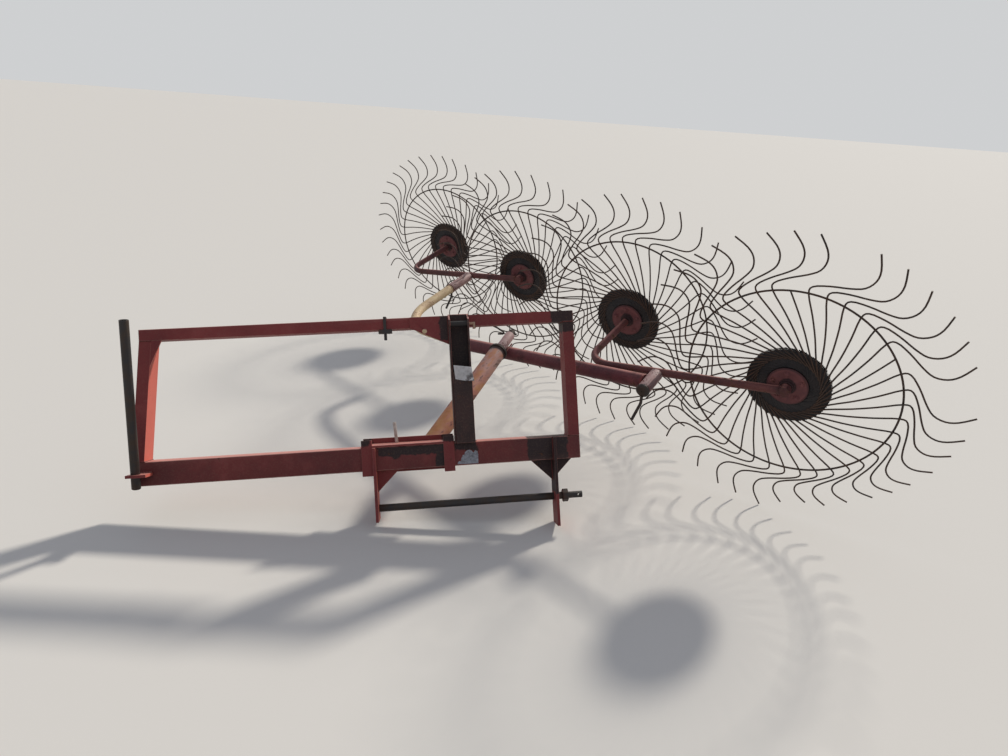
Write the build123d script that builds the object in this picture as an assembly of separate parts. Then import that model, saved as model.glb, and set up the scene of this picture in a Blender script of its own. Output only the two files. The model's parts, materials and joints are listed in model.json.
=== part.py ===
from build123d import *
import math
import os

# A three-point-mounted wheel rake as it stands parked: a welded headstock frame
# that leans back on its two hitch plates, and one gang of four tined wheels held
# behind it by a slanting tube, a bent boom and two rocking cranks.
# Millimetres, Z up. The origin is on the ground at the middle of the footprint.
# X runs along the headstock to the right of someone on the tractor who looks back
# at the rake, and Y runs rearward.

os.makedirs("parts", exist_ok=True)

# Parked pose of the headstock and of the gang
HEAD_LEAN = 21.0        # the headstock leans back by this angle
HEAD_ROLL = 5.2         # its right end sits higher than its left end
HEAD_YAW = -1.9         # its right end is swung this far toward the tractor
GANG_YAW = 40.0         # wheel axles point this far right of straight back
WHEEL_LEAN = 15.0       # wheel tops overhang toward the tractor
FIRST_HUB_X = 1374.0    # hub of the front wheel, from midway between the hitch plates
FIRST_HUB_Y = -93.0

# Wheel spacing in the gang: across the wheel faces and along the axles
ROW_STEP = 966.0
AXLE_STEP = 436.0
WHEEL_COUNT = 4

# Tined wheel
RIM_RADIUS = 445.0
RIM_ROD = 8.5
TINE_COUNT = 40
TINE_WIRE = 6.0
TIP_RATIO = 1.585       # tip reach over rim radius
PACK_RADIUS = 184.0     # close-packed tine roots round the hub
PACK_THICK = 14.0
HUB_FLANGE_RADIUS = 89.0
HUB_FLANGE_THICK = 6.0
HUB_DISH = 10.0         # the flange stands this far off the pack at its middle
HUB_BACK_RADIUS = 62.0
HUB_BARREL_RADIUS = 30.0
HUB_HALF = 30.0
HUB_SIDES = 20
HUB_BOLT_CIRCLE = 66.0
HUB_BOLTS = 5
HUB_BOLT_ACROSS = 17.0
HUB_BOLT_HEAD = 7.0
SPINDLE_RADIUS = 12.5
RUNNING_FIT = 0.08
SPINDLE_OVERHANG = 24.0
RETAINER_RADIUS = 21.0
RETAINER_THICK = 5.0
END_PLAY = 1.0

# Cranks, sleeves and boom
BAR_SIDES = 16
LEVER_SIDES = 8
BEND_FLATS = 5          # short straight flats that make up each bend
CRANK_ROD = 38.0
CRANK_AHEAD = 52.0      # crank bar centre ahead of its first wheel's plane
CRANK_BEND = 130.0
CRANK_EYE_RADIUS = 25.0
FRONT_PIVOT = 578.0     # from the first hub to the front crank's pivot
REAR_PIVOT = 404.0      # from the third hub to the rear crank's pivot
PIVOT_PIN_RADIUS = 17.0
SLEEVE_RADIUS = 31.0
SLEEVE_LENGTH = 142.0
REAR_SLEEVE_LENGTH = 205.0
SIDE_PLAY = 3.0
BOOM_RADIUS = 35.0
BOOM_WALL = 5.0
BOOM_AHEAD = 6.0        # the boom meets its front sleeve this far ahead of its middle
BOOM_SPLAY = 4.6        # the boom's straight part drifts back by this angle
BOOM_KNEE = 1790.0      # from the first hub to the thinner pipe let into the boom's end
BOOM_PLUG = 40.0        # depth of the end plate and weld that hold that pipe
PIPE_RADIUS = 27.5
PIPE_WALL = 4.5
PIPE_CORNER = 222.0     # the pipe's corner lies this far behind the front sleeve's middle
PIPE_BEND = 330.0
BOOM_PIVOT_BACK = 1432.0   # from the first hub to the tube that carries the boom
PIVOT_RISE = 58.0       # the carrying tube lies this far above the boom

# Slanting main tube and its pivot spindle
TUBE_RADIUS = 43.0
TUBE_WALL = 6.0
TUBE_SIDES = 24
COLLAR_RADIUS = 49.0
COLLAR_THICK = 16.0
TUBE_SPINDLE_RADIUS = 19.0
SPINDLE_ROOT = 120.0    # length of the spindle welded inside the tube
PIVOT_SLEEVE_RADIUS = 26.0
PIVOT_SLEEVE_LENGTH = 150.0
TUBE_END_OVERHANG = 34.0
TUBE_FOOT_X = -175.0    # where the tube starts on the lower beam
TUBE_FOOT_Z = 6.0
TUBE_FOOT_ROOT = 40.0   # the tube is drawn this far past its foot and cut to the saddle
LYNCH_RADIUS = 5.0
LYNCH_HALF = 30.0
LYNCH_IN = 14.0         # from the spindle's end
LYNCH_HOLE_HALF = 40.0

# Lock handles of the crank pins
LOCK_RADIUS = 33.0
LOCK_THICK = 18.0
LOCK_ROOT = 28.0
LEVER_RADIUS = 7.0
LEVER_KNEE = 62.0       # a lever hangs straight for this length, then swings outward
LEVER_DROP = 145.0
LEVER_SWING = 32.0
LEVER_BEND = 40.0
REAR_LEVER_IN = 15.0    # from the rear sleeve's front end
REAR_LEVER_ROOT = 20.0
FRONT_PIN_EXTRA = 15.0  # front crank pin beyond its sleeve, inside the closed lock
REAR_PIN_SHORT = 12.0   # rear crank pin ends this far inside its sleeve
EYE_AHEAD = 19.0        # reach of the crank's end eye ahead of and behind its bar
EYE_BEHIND = 21.0
SPINDLE_WELD = 20.0     # far spindle's length inside the crank's leg

# Headstock, in its own straight frame: x along, y rearward, z up,
# from the lower beam's centre between the hitch plates
BEAM_LEFT = -1374.0
BEAM_RIGHT = 502.0
BEAM_SIDE = 100.0
BEAM_WALL = 6.0
RAIL_HIGH = 48.0
RAIL_DEEP = 98.0
RAIL_WALL = 4.0
HEAD_TOP = 597.0
LEFT_SPLAY = 53.0       # the left upright's top stands this far inboard of its foot
GUSSET_THICK = 8.0
CORNER_GUSSET_WIDE = 42.0
CORNER_GUSSET_HIGH = 108.0
MAST_WIDE = 88.0
MAST_DEEP = 75.0
MAST_PROUD = 35.0       # the mast's flanges reach this far ahead of the beam
MAST_WALL = 7.0
MAST_TOP = 606.0
MAST_SLOPE = 28.0       # its flange tops slope down to the front by this much
COVER_WIDE = 80.0       # plate over the lower half of the mast channel
COVER_SHIFT = 4.0
COVER_TOP = 350.0
MAST_GUSSET_LEFT = -208.0
MAST_GUSSET_HEEL = 550.0
MAST_GUSSET_TOE = 473.0
MAST_GUSSET_HOLE_X = -147.0
MAST_GUSSET_HOLE_Z = 535.0
MAST_GUSSET_HOLE = 10.0
LINK_PIN_Z = 559.0
LINK_PIN_IN = 21.0      # pin centre behind the flanges' front edges
LINK_PIN_RADIUS = 12.5
LINK_HANDLE_RADIUS = 6.0
LINK_HANDLE_REACH = 21.0
LINK_HANDLE_DROP = 24.0
TAG_X = 9.0
TAG_Z = 348.0
TAG_WIDE = 78.0
TAG_HIGH = 64.0
TAG_THICK = 1.5
TAG_TILT = 8.0
HITCH_SPAN = 776.0      # between the two hitch plates, centre to centre
PLATE_THICK = 12.0
PLATE_FRONT = 76.0      # front edge ahead of the beam's middle
PLATE_BACK = 40.0
PLATE_DROP = 216.0
HITCH_BAR_RADIUS = 16.0
HITCH_BAR_LIFT = 49.0
HITCH_PIN_RADIUS = 14.3  # free end that takes the tractor's lower link
HITCH_PIN_LENGTH = 64.0
HITCH_PIN_HOLE = 5.5
HITCH_PIN_HOLE_IN = 16.0
HITCH_NUT_GAP = 27.0
HITCH_NUT_RADIUS = 29.0
HITCH_NUT_THICK = 24.0
GUSSET_REACH = 98.0
GUSSET_DROP = 96.0
OUTER_GUSSET = 80.0
SADDLE_CLEAR = 1.0      # between the saddle's left strap and the left hitch plate
SADDLE_RIGHT = -47.0
SADDLE_STRAP = 46.0
SADDLE_THICK = 9.0
SADDLE_BELOW = 20.0
SADDLE_ABOVE = 32.0
PEG_IN = 148.0          # from the saddle's left end
PEG_RADIUS = 7.0
PEG_HIGH = 100.0
CLIP_X = -314.0
CLIP_WIDE = 12.0
CLIP_THICK = 8.0
CLIP_BLOCK_WIDE = 56.0
CLIP_BLOCK_HIGH = 16.0
CLIP_BLOCK_DEEP = 40.0
CLIP_TAIL = 28.0
POLE_RADIUS = 18.0
POLE_WALL = 4.0
POLE_ABOVE = 643.0      # from the lug to the pole's top
POLE_BELOW = 55.0
POLE_LEAN = 5.7
POLE_IN = 30.0          # pole centre in from the beam's left end
POLE_AHEAD = 49.0       # pole centre ahead of the beam's face
LUG_THICK = 12.0
LUG_WIDE = 80.0


def tilt(x_axis, y_axis, origin):
    """A placement from the directions of its x and y axes."""
    return Location(Plane(origin=origin, x_dir=x_axis, z_dir=x_axis.cross(y_axis)))


# Headstock placement: rolled in its own plane, leaned back, swung round, and lowered
# until the left hitch plate's foot stands on the ground. The right plate is longer by
# what the roll lifts it, so both stand on a level floor.
head_turn = Rot(0, 0, HEAD_YAW) * Rot(-HEAD_LEAN, 0, 0) * Rot(0, -HEAD_ROLL, 0)
half_beam = BEAM_SIDE / 2
half_span = HITCH_SPAN / 2
left_foot = Vector(-half_span - PLATE_THICK / 2, PLATE_BACK, -half_beam - PLATE_DROP)
right_extra = HITCH_SPAN * math.tan(math.radians(HEAD_ROLL))
foot_turned = (head_turn * Location(left_foot)).position
head_place = Location((0, 0, -foot_turned.Z)) * head_turn


def head_point(x, y, z):
    return (head_place * Location((x, y, z))).position


# Gang placement: y along the axles, x along the wheel faces, set so that the row
# of hubs is level and the lowest tine tips touch the ground
yaw = math.radians(GANG_YAW)
lean = math.radians(WHEEL_LEAN)
axle_dir = Vector(math.sin(yaw) * math.cos(lean), math.cos(yaw) * math.cos(lean), math.sin(lean))
level_dir = Vector(math.cos(yaw), -math.sin(yaw), 0)
rise_dir = level_dir.cross(axle_dir)
gang_roll = math.asin(AXLE_STEP * math.sin(lean) / (ROW_STEP * math.cos(lean)))
face_dir = level_dir * math.cos(gang_roll) + rise_dir * math.sin(gang_roll)
tip_radius = RIM_RADIUS * TIP_RATIO
hub_height = tip_radius * math.cos(lean) + (RIM_ROD / 2 + TINE_WIRE) * math.sin(lean)
gang_place = tilt(face_dir, axle_dir, Vector(FIRST_HUB_X, FIRST_HUB_Y, hub_height))


def gang_point(x, y, z=0.0):
    return (gang_place * Location((x, y, z))).position


pieces = {}


def save(shape, name):
    pieces[name] = shape


def rod(start, end, radius, bore=0.0):
    """A round bar or tube between two points."""
    start = Vector(start)
    end = Vector(end)
    axis = end - start
    solid = extrude(Plane(origin=start, z_dir=axis) * Circle(radius), amount=axis.length)
    if bore > 0:
        solid -= extrude(Plane(origin=start, z_dir=axis) * Circle(bore), amount=axis.length)
    return solid


def disc(start, end, radius, sides):
    """A many-sided disc or bar between two points."""
    start = Vector(start)
    axis = Vector(end) - start
    return extrude(Plane(origin=start, z_dir=axis) * RegularPolygon(radius, sides), amount=axis.length)


def bent_bar(points, bend, radius, sides, bore=0.0):
    """A many-sided bar or tube along straight runs joined by bends, each bend in short flats."""
    line = [Vector(*points[0])]
    for before, corner, after in zip(points, points[1:], points[2:]):
        back = (Vector(*before) - Vector(*corner)).normalized()
        on = (Vector(*after) - Vector(*corner)).normalized()
        half = back.get_angle(on) / 2
        reach = bend / math.tan(math.radians(half))
        inward = (back + on).normalized()
        centre = Vector(*corner) + inward * (bend / math.sin(math.radians(half)))
        start = Vector(*corner) + back * reach - centre
        around = back.cross(on)
        for step in range(BEND_FLATS + 1):
            angle = -(180 - 2 * half) * step / BEND_FLATS
            line.append(centre + start.rotate(Axis((0, 0, 0), around), angle))
    line.append(Vector(*points[-1]))
    path = Polyline(*line)
    section = RegularPolygon(radius, sides)
    if bore > 0:
        section -= RegularPolygon(bore, sides)
    return sweep(Plane(origin=path @ 0, z_dir=path % 0) * section, path=path, transition=Transition.RIGHT)


def box_tube(length, high, deep, wall):
    """A rectangular tube along x, centred."""
    outer = Box(length, deep, high)
    return outer - Box(length + wall, deep - 2 * wall, high - 2 * wall)


# Headstock frame
beam_length = BEAM_RIGHT - BEAM_LEFT
beam_middle = (BEAM_LEFT + BEAM_RIGHT) / 2
rail_left = BEAM_LEFT + LEFT_SPLAY
rail_z = HEAD_TOP - RAIL_HIGH / 2
rail_bottom = HEAD_TOP - RAIL_HIGH
rail_y = (RAIL_DEEP - BEAM_SIDE) / 2
mast_left = -MAST_WIDE / 2
mast_right = MAST_WIDE / 2

lower = Pos(beam_middle, 0, 0) * box_tube(beam_length, BEAM_SIDE, BEAM_SIDE, BEAM_WALL)
save(head_place * lower, "lower_beam")

for side, start, end in (("left", rail_left, mast_left), ("right", mast_right, BEAM_RIGHT)):
    rail = box_tube(end - start, RAIL_HIGH, RAIL_DEEP, RAIL_WALL)
    save(head_place * (Pos((start + end) / 2, rail_y, rail_z) * rail), side + "_upper_beam")


def flat(points, depth, y=0.0):
    """A slab in the headstock's plane, from an outline of x and z, centred on depth y."""
    outline = make_face(Polyline(*points, close=True))
    return Pos(0, y, 0) * Rot(90, 0, 0) * extrude(outline, amount=depth / 2, both=True)


def leaning_tube(foot_x, top_x):
    """A rectangular tube from the lower beam's top to the upper beam."""
    solids = []
    for wall in (0.0, RAIL_WALL):
        points = (
            (foot_x + wall, half_beam),
            (foot_x + RAIL_HIGH - wall, half_beam),
            (top_x + RAIL_HIGH - wall, rail_bottom),
            (top_x + wall, rail_bottom),
        )
        solids.append(flat(points, RAIL_DEEP - 2 * wall, rail_y))
    return solids[0] - solids[1]


right_foot = BEAM_RIGHT - RAIL_HIGH
save(head_place * leaning_tube(BEAM_LEFT, rail_left), "left_upright")
save(head_place * leaning_tube(right_foot, right_foot), "right_upright")

# Gusset in the upper left corner, flush with the front faces
slope = LEFT_SPLAY / (rail_bottom - half_beam)
gusset_top = rail_left + RAIL_HIGH
corner_points = (
    (gusset_top, rail_bottom),
    (gusset_top + CORNER_GUSSET_WIDE, rail_bottom),
    (gusset_top - slope * CORNER_GUSSET_HIGH, rail_bottom - CORNER_GUSSET_HIGH),
)
gusset_y = rail_y - RAIL_DEEP / 2 + GUSSET_THICK / 2
save(head_place * flat(corner_points, GUSSET_THICK, gusset_y), "corner_gusset")

# Mast: a channel open toward the tractor that stands on the lower beam between
# the two upper beams, with flange tops that slope and a plate over its lower half
mast_front = -half_beam - MAST_PROUD
mast_high = MAST_TOP - half_beam
mast_y = mast_front + MAST_DEEP / 2
channel = Box(MAST_WIDE, MAST_DEEP, mast_high)
channel -= Pos(0, -MAST_WALL, 0) * Box(MAST_WIDE - 2 * MAST_WALL, MAST_DEEP, mast_high)
channel = Pos(0, mast_y, half_beam + mast_high / 2) * channel
slope_face = make_face(Polyline((mast_front, MAST_TOP), (mast_front + MAST_DEEP, MAST_TOP),
                                (mast_front, MAST_TOP - MAST_SLOPE), close=True))
channel -= extrude(Plane.YZ * slope_face, amount=MAST_WIDE, both=True)
link_y = mast_front + LINK_PIN_IN
link_start = Vector(mast_left, link_y, LINK_PIN_Z)
link_end = Vector(mast_right, link_y, LINK_PIN_Z)
channel -= rod(link_start, link_end, LINK_PIN_RADIUS + RUNNING_FIT)
save(head_place * channel, "mast")

cover_high = COVER_TOP - half_beam
cover_at = Pos(COVER_SHIFT, mast_front - MAST_WALL / 2, half_beam + cover_high / 2)
save(head_place * (cover_at * Box(COVER_WIDE, MAST_WALL, cover_high)), "mast_cover")

mast_gusset_points = (
    (MAST_GUSSET_LEFT, HEAD_TOP),
    (mast_left, HEAD_TOP),
    (mast_left, MAST_GUSSET_TOE),
    (MAST_GUSSET_LEFT, MAST_GUSSET_HEEL),
)
plate_y = -half_beam - GUSSET_THICK / 2
mast_gusset = flat(mast_gusset_points, GUSSET_THICK, plate_y)
hole_front = (MAST_GUSSET_HOLE_X, -BEAM_SIDE, MAST_GUSSET_HOLE_Z)
hole_back = (MAST_GUSSET_HOLE_X, -half_beam, MAST_GUSSET_HOLE_Z)
save(head_place * (mast_gusset - rod(hole_front, hole_back, MAST_GUSSET_HOLE)), "mast_gusset")

handle_corner = link_end + Vector(LINK_HANDLE_REACH, 0, 0)
handle_points = (
    link_end - Vector(LINK_HANDLE_REACH, 0, 0),
    handle_corner,
    handle_corner - Vector(0, 0, LINK_HANDLE_DROP),
)
handle_path = Polyline(*handle_points)
handle_face = Plane(origin=handle_path @ 0, z_dir=handle_path % 0) * RegularPolygon(LINK_HANDLE_RADIUS, 8)
link_pin = rod(link_start, link_end, LINK_PIN_RADIUS)
link_pin += sweep(handle_face, path=handle_path, transition=Transition.RIGHT)
save(head_place * link_pin, "top_link_pin")

tag_y = mast_front - MAST_WALL - TAG_THICK / 2
tag = Pos(TAG_X, tag_y, TAG_Z) * Rot(0, TAG_TILT, 0) * Box(TAG_WIDE, TAG_THICK, TAG_HIGH)
save(head_place * tag, "blank_tag")

# Hitch plates stand crosswise under the beam, reach up its front, and carry the
# frame on their rear corners
plate_foot = -half_beam - PLATE_DROP
bar_z = plate_foot + HITCH_BAR_LIFT
for side, x, foot_z in (("left", -half_span, plate_foot), ("right", half_span, plate_foot - right_extra)):
    outline = Polyline(
        (-PLATE_FRONT, half_beam),
        (-half_beam, half_beam),
        (-half_beam, -half_beam),
        (PLATE_BACK, -half_beam),
        (PLATE_BACK, foot_z),
        (-PLATE_FRONT, foot_z),
        close=True,
    )
    plate = Pos(x, 0, 0) * extrude(Plane.YZ * make_face(outline), amount=PLATE_THICK / 2, both=True)
    bar_hole = rod((x - PLATE_THICK, 0, bar_z), (x + PLATE_THICK, 0, bar_z), HITCH_BAR_RADIUS + RUNNING_FIT)
    save(head_place * (plate - bar_hole), side + "_hitch_plate")

for name, x, reach, drop in (
    ("left_plate_gusset", -half_span + PLATE_THICK / 2, GUSSET_REACH, GUSSET_DROP),
    ("right_inner_gusset", half_span - PLATE_THICK / 2, -GUSSET_REACH, GUSSET_DROP),
    ("right_outer_gusset", half_span + PLATE_THICK / 2, OUTER_GUSSET, OUTER_GUSSET),
):
    points = ((x, -half_beam), (x + reach, -half_beam), (x, -half_beam - drop))
    save(head_place * flat(points, GUSSET_THICK), name)

bar_left = -half_span - PLATE_THICK / 2
nut_left = half_span + PLATE_THICK / 2 + HITCH_NUT_GAP
pin_left = nut_left + HITCH_NUT_THICK
pin_right = pin_left + HITCH_PIN_LENGTH
hole_x = pin_right - HITCH_PIN_HOLE_IN
bar = rod((bar_left, 0, bar_z), (pin_left, 0, bar_z), HITCH_BAR_RADIUS)
bar += rod((pin_left, 0, bar_z), (pin_right, 0, bar_z), HITCH_PIN_RADIUS)
bar -= rod((hole_x, -HITCH_BAR_RADIUS, bar_z), (hole_x, HITCH_BAR_RADIUS, bar_z), HITCH_PIN_HOLE)
save(head_place * bar, "hitch_bar")

nut_face = Plane(origin=(nut_left, 0, bar_z), z_dir=(1, 0, 0)) * RegularPolygon(HITCH_NUT_RADIUS, 6)
nut = extrude(nut_face, amount=HITCH_NUT_THICK)
nut -= rod((nut_left, 0, bar_z), (pin_left, 0, bar_z), HITCH_BAR_RADIUS)
save(head_place * nut, "hitch_nut")

# Saddle that carries the main tube: straps down the front of the lower beam,
# a plate over its top and a plate down its back
saddle_left = -half_span - PLATE_THICK / 2 - SADDLE_CLEAR - SADDLE_STRAP
saddle_wide = SADDLE_RIGHT - saddle_left
saddle_x = (saddle_left + SADDLE_RIGHT) / 2
strap_high = BEAM_SIDE + SADDLE_BELOW + SADDLE_ABOVE
strap_z = (SADDLE_ABOVE - SADDLE_BELOW) / 2
strap_y = -half_beam - SADDLE_THICK / 2
saddle_deep = BEAM_SIDE + 2 * SADDLE_THICK
saddle = Pos(saddle_x, 0, half_beam + SADDLE_THICK / 2) * Box(saddle_wide, saddle_deep, SADDLE_THICK)
saddle += Pos(saddle_x, -strap_y, strap_z) * Box(saddle_wide, SADDLE_THICK, strap_high)
for strap_x in (saddle_left + SADDLE_STRAP / 2, SADDLE_RIGHT - SADDLE_STRAP / 2):
    saddle += Pos(strap_x, strap_y, strap_z) * Box(SADDLE_STRAP, SADDLE_THICK, strap_high)
save(head_place * saddle, "saddle_bracket")

peg_x = saddle_left + PEG_IN
peg_y = half_beam / 2
peg = rod((peg_x, peg_y, half_beam), (peg_x - PEG_RADIUS, peg_y, half_beam + PEG_HIGH), PEG_RADIUS)
peg -= saddle
peg -= Box(2 * beam_length, BEAM_SIDE, BEAM_SIDE)
save(head_place * peg, "saddle_peg")

# Clip round the upper beam, with a block and a tail below it
clip_deep = RAIL_DEEP + 2 * CLIP_THICK
clip_high = RAIL_HIGH + 2 * CLIP_THICK
clip_front = rail_y - clip_deep / 2
clip = Pos(CLIP_X, rail_y, rail_z) * Box(CLIP_WIDE, clip_deep, clip_high)
clip -= Pos(CLIP_X, rail_y, rail_z) * Box(2 * CLIP_WIDE, RAIL_DEEP, RAIL_HIGH)
block_at = Pos(CLIP_X, clip_front + CLIP_BLOCK_DEEP / 2, rail_bottom - CLIP_BLOCK_HIGH / 2)
clip += block_at * Box(CLIP_BLOCK_WIDE, CLIP_BLOCK_DEEP, CLIP_BLOCK_HIGH)
tail_at = Pos(CLIP_X, clip_front + CLIP_BLOCK_DEEP / 2, rail_bottom - CLIP_BLOCK_HIGH - CLIP_TAIL / 2)
clip += tail_at * Box(CLIP_WIDE, CLIP_WIDE, CLIP_TAIL)
save(head_place * clip, "upper_beam_clip")

# Pole held upright in a lug at the lower beam's left end
lug_x = BEAM_LEFT + POLE_IN
lug_y = -half_beam - POLE_AHEAD
lug_deep = POLE_AHEAD + POLE_RADIUS + LUG_THICK
lug_left = lug_x - POLE_RADIUS - LUG_THICK
lug_middle = lug_left + LUG_WIDE / 2
lug = Pos(lug_middle, -half_beam - lug_deep / 2, 0) * Box(LUG_WIDE, lug_deep, LUG_THICK)
lug_at = head_point(lug_x, lug_y, 0)
lug_solid = head_place * lug
pole_dir = Vector(0, math.sin(math.radians(POLE_LEAN)), math.cos(math.radians(POLE_LEAN)))
pole_bottom = lug_at - pole_dir * POLE_BELOW
pole_top = lug_at + pole_dir * POLE_ABOVE
lug_solid -= rod(pole_bottom, pole_top, POLE_RADIUS + RUNNING_FIT)
save(lug_solid, "pole_lug")
save(rod(pole_bottom, pole_top, POLE_RADIUS, POLE_RADIUS - POLE_WALL), "stand_pole")

# Boom line in the gang's plane
boom_y = -CRANK_AHEAD - CRANK_ROD / 2 - SIDE_PLAY - SLEEVE_LENGTH / 2
splay = math.tan(math.radians(BOOM_SPLAY))
rear_bar_y = 2 * AXLE_STEP - CRANK_AHEAD
leg_x = -2 * ROW_STEP - REAR_PIVOT
leg_end = rear_bar_y - CRANK_ROD / 2 - SIDE_PLAY
line_y = boom_y - BOOM_AHEAD
knee_y = line_y + (BOOM_KNEE - FRONT_PIVOT) * splay
corner_y = boom_y + PIPE_CORNER
cross_y = line_y + (BOOM_PIVOT_BACK - FRONT_PIVOT) * splay

# Main tube: from the back of the saddle to the boom's pivot
pivot_at = gang_point(-BOOM_PIVOT_BACK, cross_y, PIVOT_RISE)
tube_foot = head_point(TUBE_FOOT_X, half_beam + SADDLE_THICK, TUBE_FOOT_Z)
tube_axis = (pivot_at - tube_foot).normalized()
sleeve_start = pivot_at - tube_axis * (PIVOT_SLEEVE_LENGTH / 2)
sleeve_end = pivot_at + tube_axis * (PIVOT_SLEEVE_LENGTH / 2)
collar_start = sleeve_start - tube_axis * (COLLAR_THICK + END_PLAY)
spindle_end = sleeve_end + tube_axis * TUBE_END_OVERHANG

tube_root = tube_foot - tube_axis * TUBE_FOOT_ROOT
main_tube = disc(tube_root, collar_start, TUBE_RADIUS, TUBE_SIDES)
main_tube -= disc(tube_root, collar_start, TUBE_RADIUS - TUBE_WALL, TUBE_SIDES)
cut_side = 4 * BEAM_SIDE
cut_y = half_beam + SADDLE_THICK - cut_side / 2
main_tube -= head_place * (Pos(TUBE_FOOT_X, cut_y, 0) * Box(cut_side, cut_side, cut_side))
save(main_tube, "main_tube")

spindle = rod(collar_start - tube_axis * SPINDLE_ROOT, spindle_end, TUBE_SPINDLE_RADIUS)
spindle += disc(collar_start, collar_start + tube_axis * COLLAR_THICK, COLLAR_RADIUS, TUBE_SIDES)
hole_side = tube_axis.cross(Vector(0, 0, 1)).normalized()
pin_at = spindle_end - tube_axis * LYNCH_IN
hole_reach = hole_side * LYNCH_HOLE_HALF
save(spindle - rod(pin_at - hole_reach, pin_at + hole_reach, LYNCH_RADIUS + RUNNING_FIT), "tube_spindle")
save(rod(pin_at - hole_side * LYNCH_HALF, pin_at + hole_side * LYNCH_HALF, LYNCH_RADIUS), "lynch_pin")

# Boom: sleeve on the spindle, straight tube below it with a cross sleeve at its front
# end, and a thinner pipe let into its other end and bent back into a leg
pivot_sleeve = rod(sleeve_start, sleeve_end, PIVOT_SLEEVE_RADIUS, TUBE_SPINDLE_RADIUS + RUNNING_FIT)
save(pivot_sleeve, "boom_pivot_sleeve")
boom_start = SLEEVE_RADIUS - SIDE_PLAY
boom_front = gang_point(-FRONT_PIVOT - boom_start, line_y + boom_start * splay)
boom_knee = gang_point(-BOOM_KNEE, knee_y)
boom_dir = (boom_knee - boom_front).normalized()
pipe_points = (boom_knee, gang_point(leg_x, corner_y), gang_point(leg_x, leg_end - REAR_SLEEVE_LENGTH))
front_sleeve_start = boom_y - SLEEVE_LENGTH / 2
front_sleeve_end = boom_y + SLEEVE_LENGTH / 2
boom_inner = disc(boom_front, boom_knee - boom_dir * BOOM_PLUG, BOOM_RADIUS - BOOM_WALL, BAR_SIDES)
boom = disc(boom_front, boom_knee, BOOM_RADIUS, BAR_SIDES) - boom_inner
boom += bent_bar(pipe_points, PIPE_BEND, PIPE_RADIUS, BAR_SIDES, PIPE_RADIUS - PIPE_WALL)
boom -= rod(sleeve_start, sleeve_end, PIVOT_SLEEVE_RADIUS)
front_axis = (gang_point(-FRONT_PIVOT, front_sleeve_start), gang_point(-FRONT_PIVOT, front_sleeve_end))
boom -= rod(*front_axis, SLEEVE_RADIUS)
save(boom, "boom")

rear_axis = (gang_point(leg_x, leg_end - REAR_SLEEVE_LENGTH), gang_point(leg_x, leg_end))
for name, ends in (("front", front_axis), ("rear", rear_axis)):
    save(rod(*ends, SLEEVE_RADIUS, PIVOT_PIN_RADIUS + RUNNING_FIT), name + "_crank_sleeve")

# Cranks: a bar across two wheel places, bent back into a leg, with a pivot pin
shoulder = AXLE_STEP - HUB_HALF - END_PLAY
spindle_tail = HUB_HALF + END_PLAY + SPINDLE_OVERHANG
washer_in = HUB_HALF + END_PLAY
for name, x, y, pivot_x, pin_length in (
    ("front", 0.0, 0.0, -FRONT_PIVOT, SLEEVE_LENGTH + FRONT_PIN_EXTRA),
    ("rear", -2 * ROW_STEP, 2 * AXLE_STEP, leg_x, REAR_SLEEVE_LENGTH - REAR_PIN_SHORT),
):
    bar_y = y - CRANK_AHEAD
    leg_at = x - ROW_STEP
    points = (gang_point(x, bar_y), gang_point(leg_at, bar_y), gang_point(leg_at, y + shoulder))
    crank = bent_bar(points, CRANK_BEND, CRANK_ROD / 2, BAR_SIDES)
    for hub_x, hub_y, root_y in ((x, y, bar_y), (leg_at, y + AXLE_STEP, y + shoulder - SPINDLE_WELD)):
        washer_y = hub_y + washer_in
        crank += rod(gang_point(hub_x, root_y), gang_point(hub_x, hub_y + spindle_tail), SPINDLE_RADIUS)
        washer = (gang_point(hub_x, washer_y), gang_point(hub_x, washer_y + RETAINER_THICK))
        crank += disc(*washer, RETAINER_RADIUS, BAR_SIDES)
    eye = (gang_point(x, bar_y - EYE_AHEAD), gang_point(x, bar_y + EYE_BEHIND))
    crank += disc(*eye, CRANK_EYE_RADIUS, BAR_SIDES)
    pin_end = bar_y - CRANK_ROD / 2 - SIDE_PLAY - pin_length
    crank += rod(gang_point(pivot_x, bar_y), gang_point(pivot_x, pin_end), PIVOT_PIN_RADIUS)
    save(crank, name + "_crank")

# Lock handles that keep the cranks in their sleeves
drop_dir = Vector(0, 0, -1)


def lever(root, start_drop):
    """A handle that hangs down from its root and swings toward the headstock's left end."""
    points = (
        root + drop_dir * start_drop,
        root + drop_dir * LEVER_KNEE,
        root + drop_dir * LEVER_DROP - Vector(LEVER_SWING, 0, 0),
    )
    return bent_bar(points, LEVER_BEND, LEVER_RADIUS, LEVER_SIDES)


lock_back = front_sleeve_start - SIDE_PLAY
pin_tip = front_sleeve_start - FRONT_PIN_EXTRA
lock_from = gang_point(-FRONT_PIVOT, lock_back)
lock = disc(lock_from, gang_point(-FRONT_PIVOT, lock_back - LOCK_THICK), LOCK_RADIUS, BAR_SIDES)
lock -= rod(lock_from, gang_point(-FRONT_PIVOT, pin_tip), PIVOT_PIN_RADIUS)
lock += lever(gang_point(-FRONT_PIVOT, lock_back - LOCK_THICK / 2), LOCK_ROOT)
save(lock, "front_crank_lock")
rear_root = gang_point(leg_x, leg_end - REAR_SLEEVE_LENGTH + REAR_LEVER_IN)
save(lever(rear_root, REAR_LEVER_ROOT) - rod(*rear_axis, SLEEVE_RADIUS), "rear_crank_lock")


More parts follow.
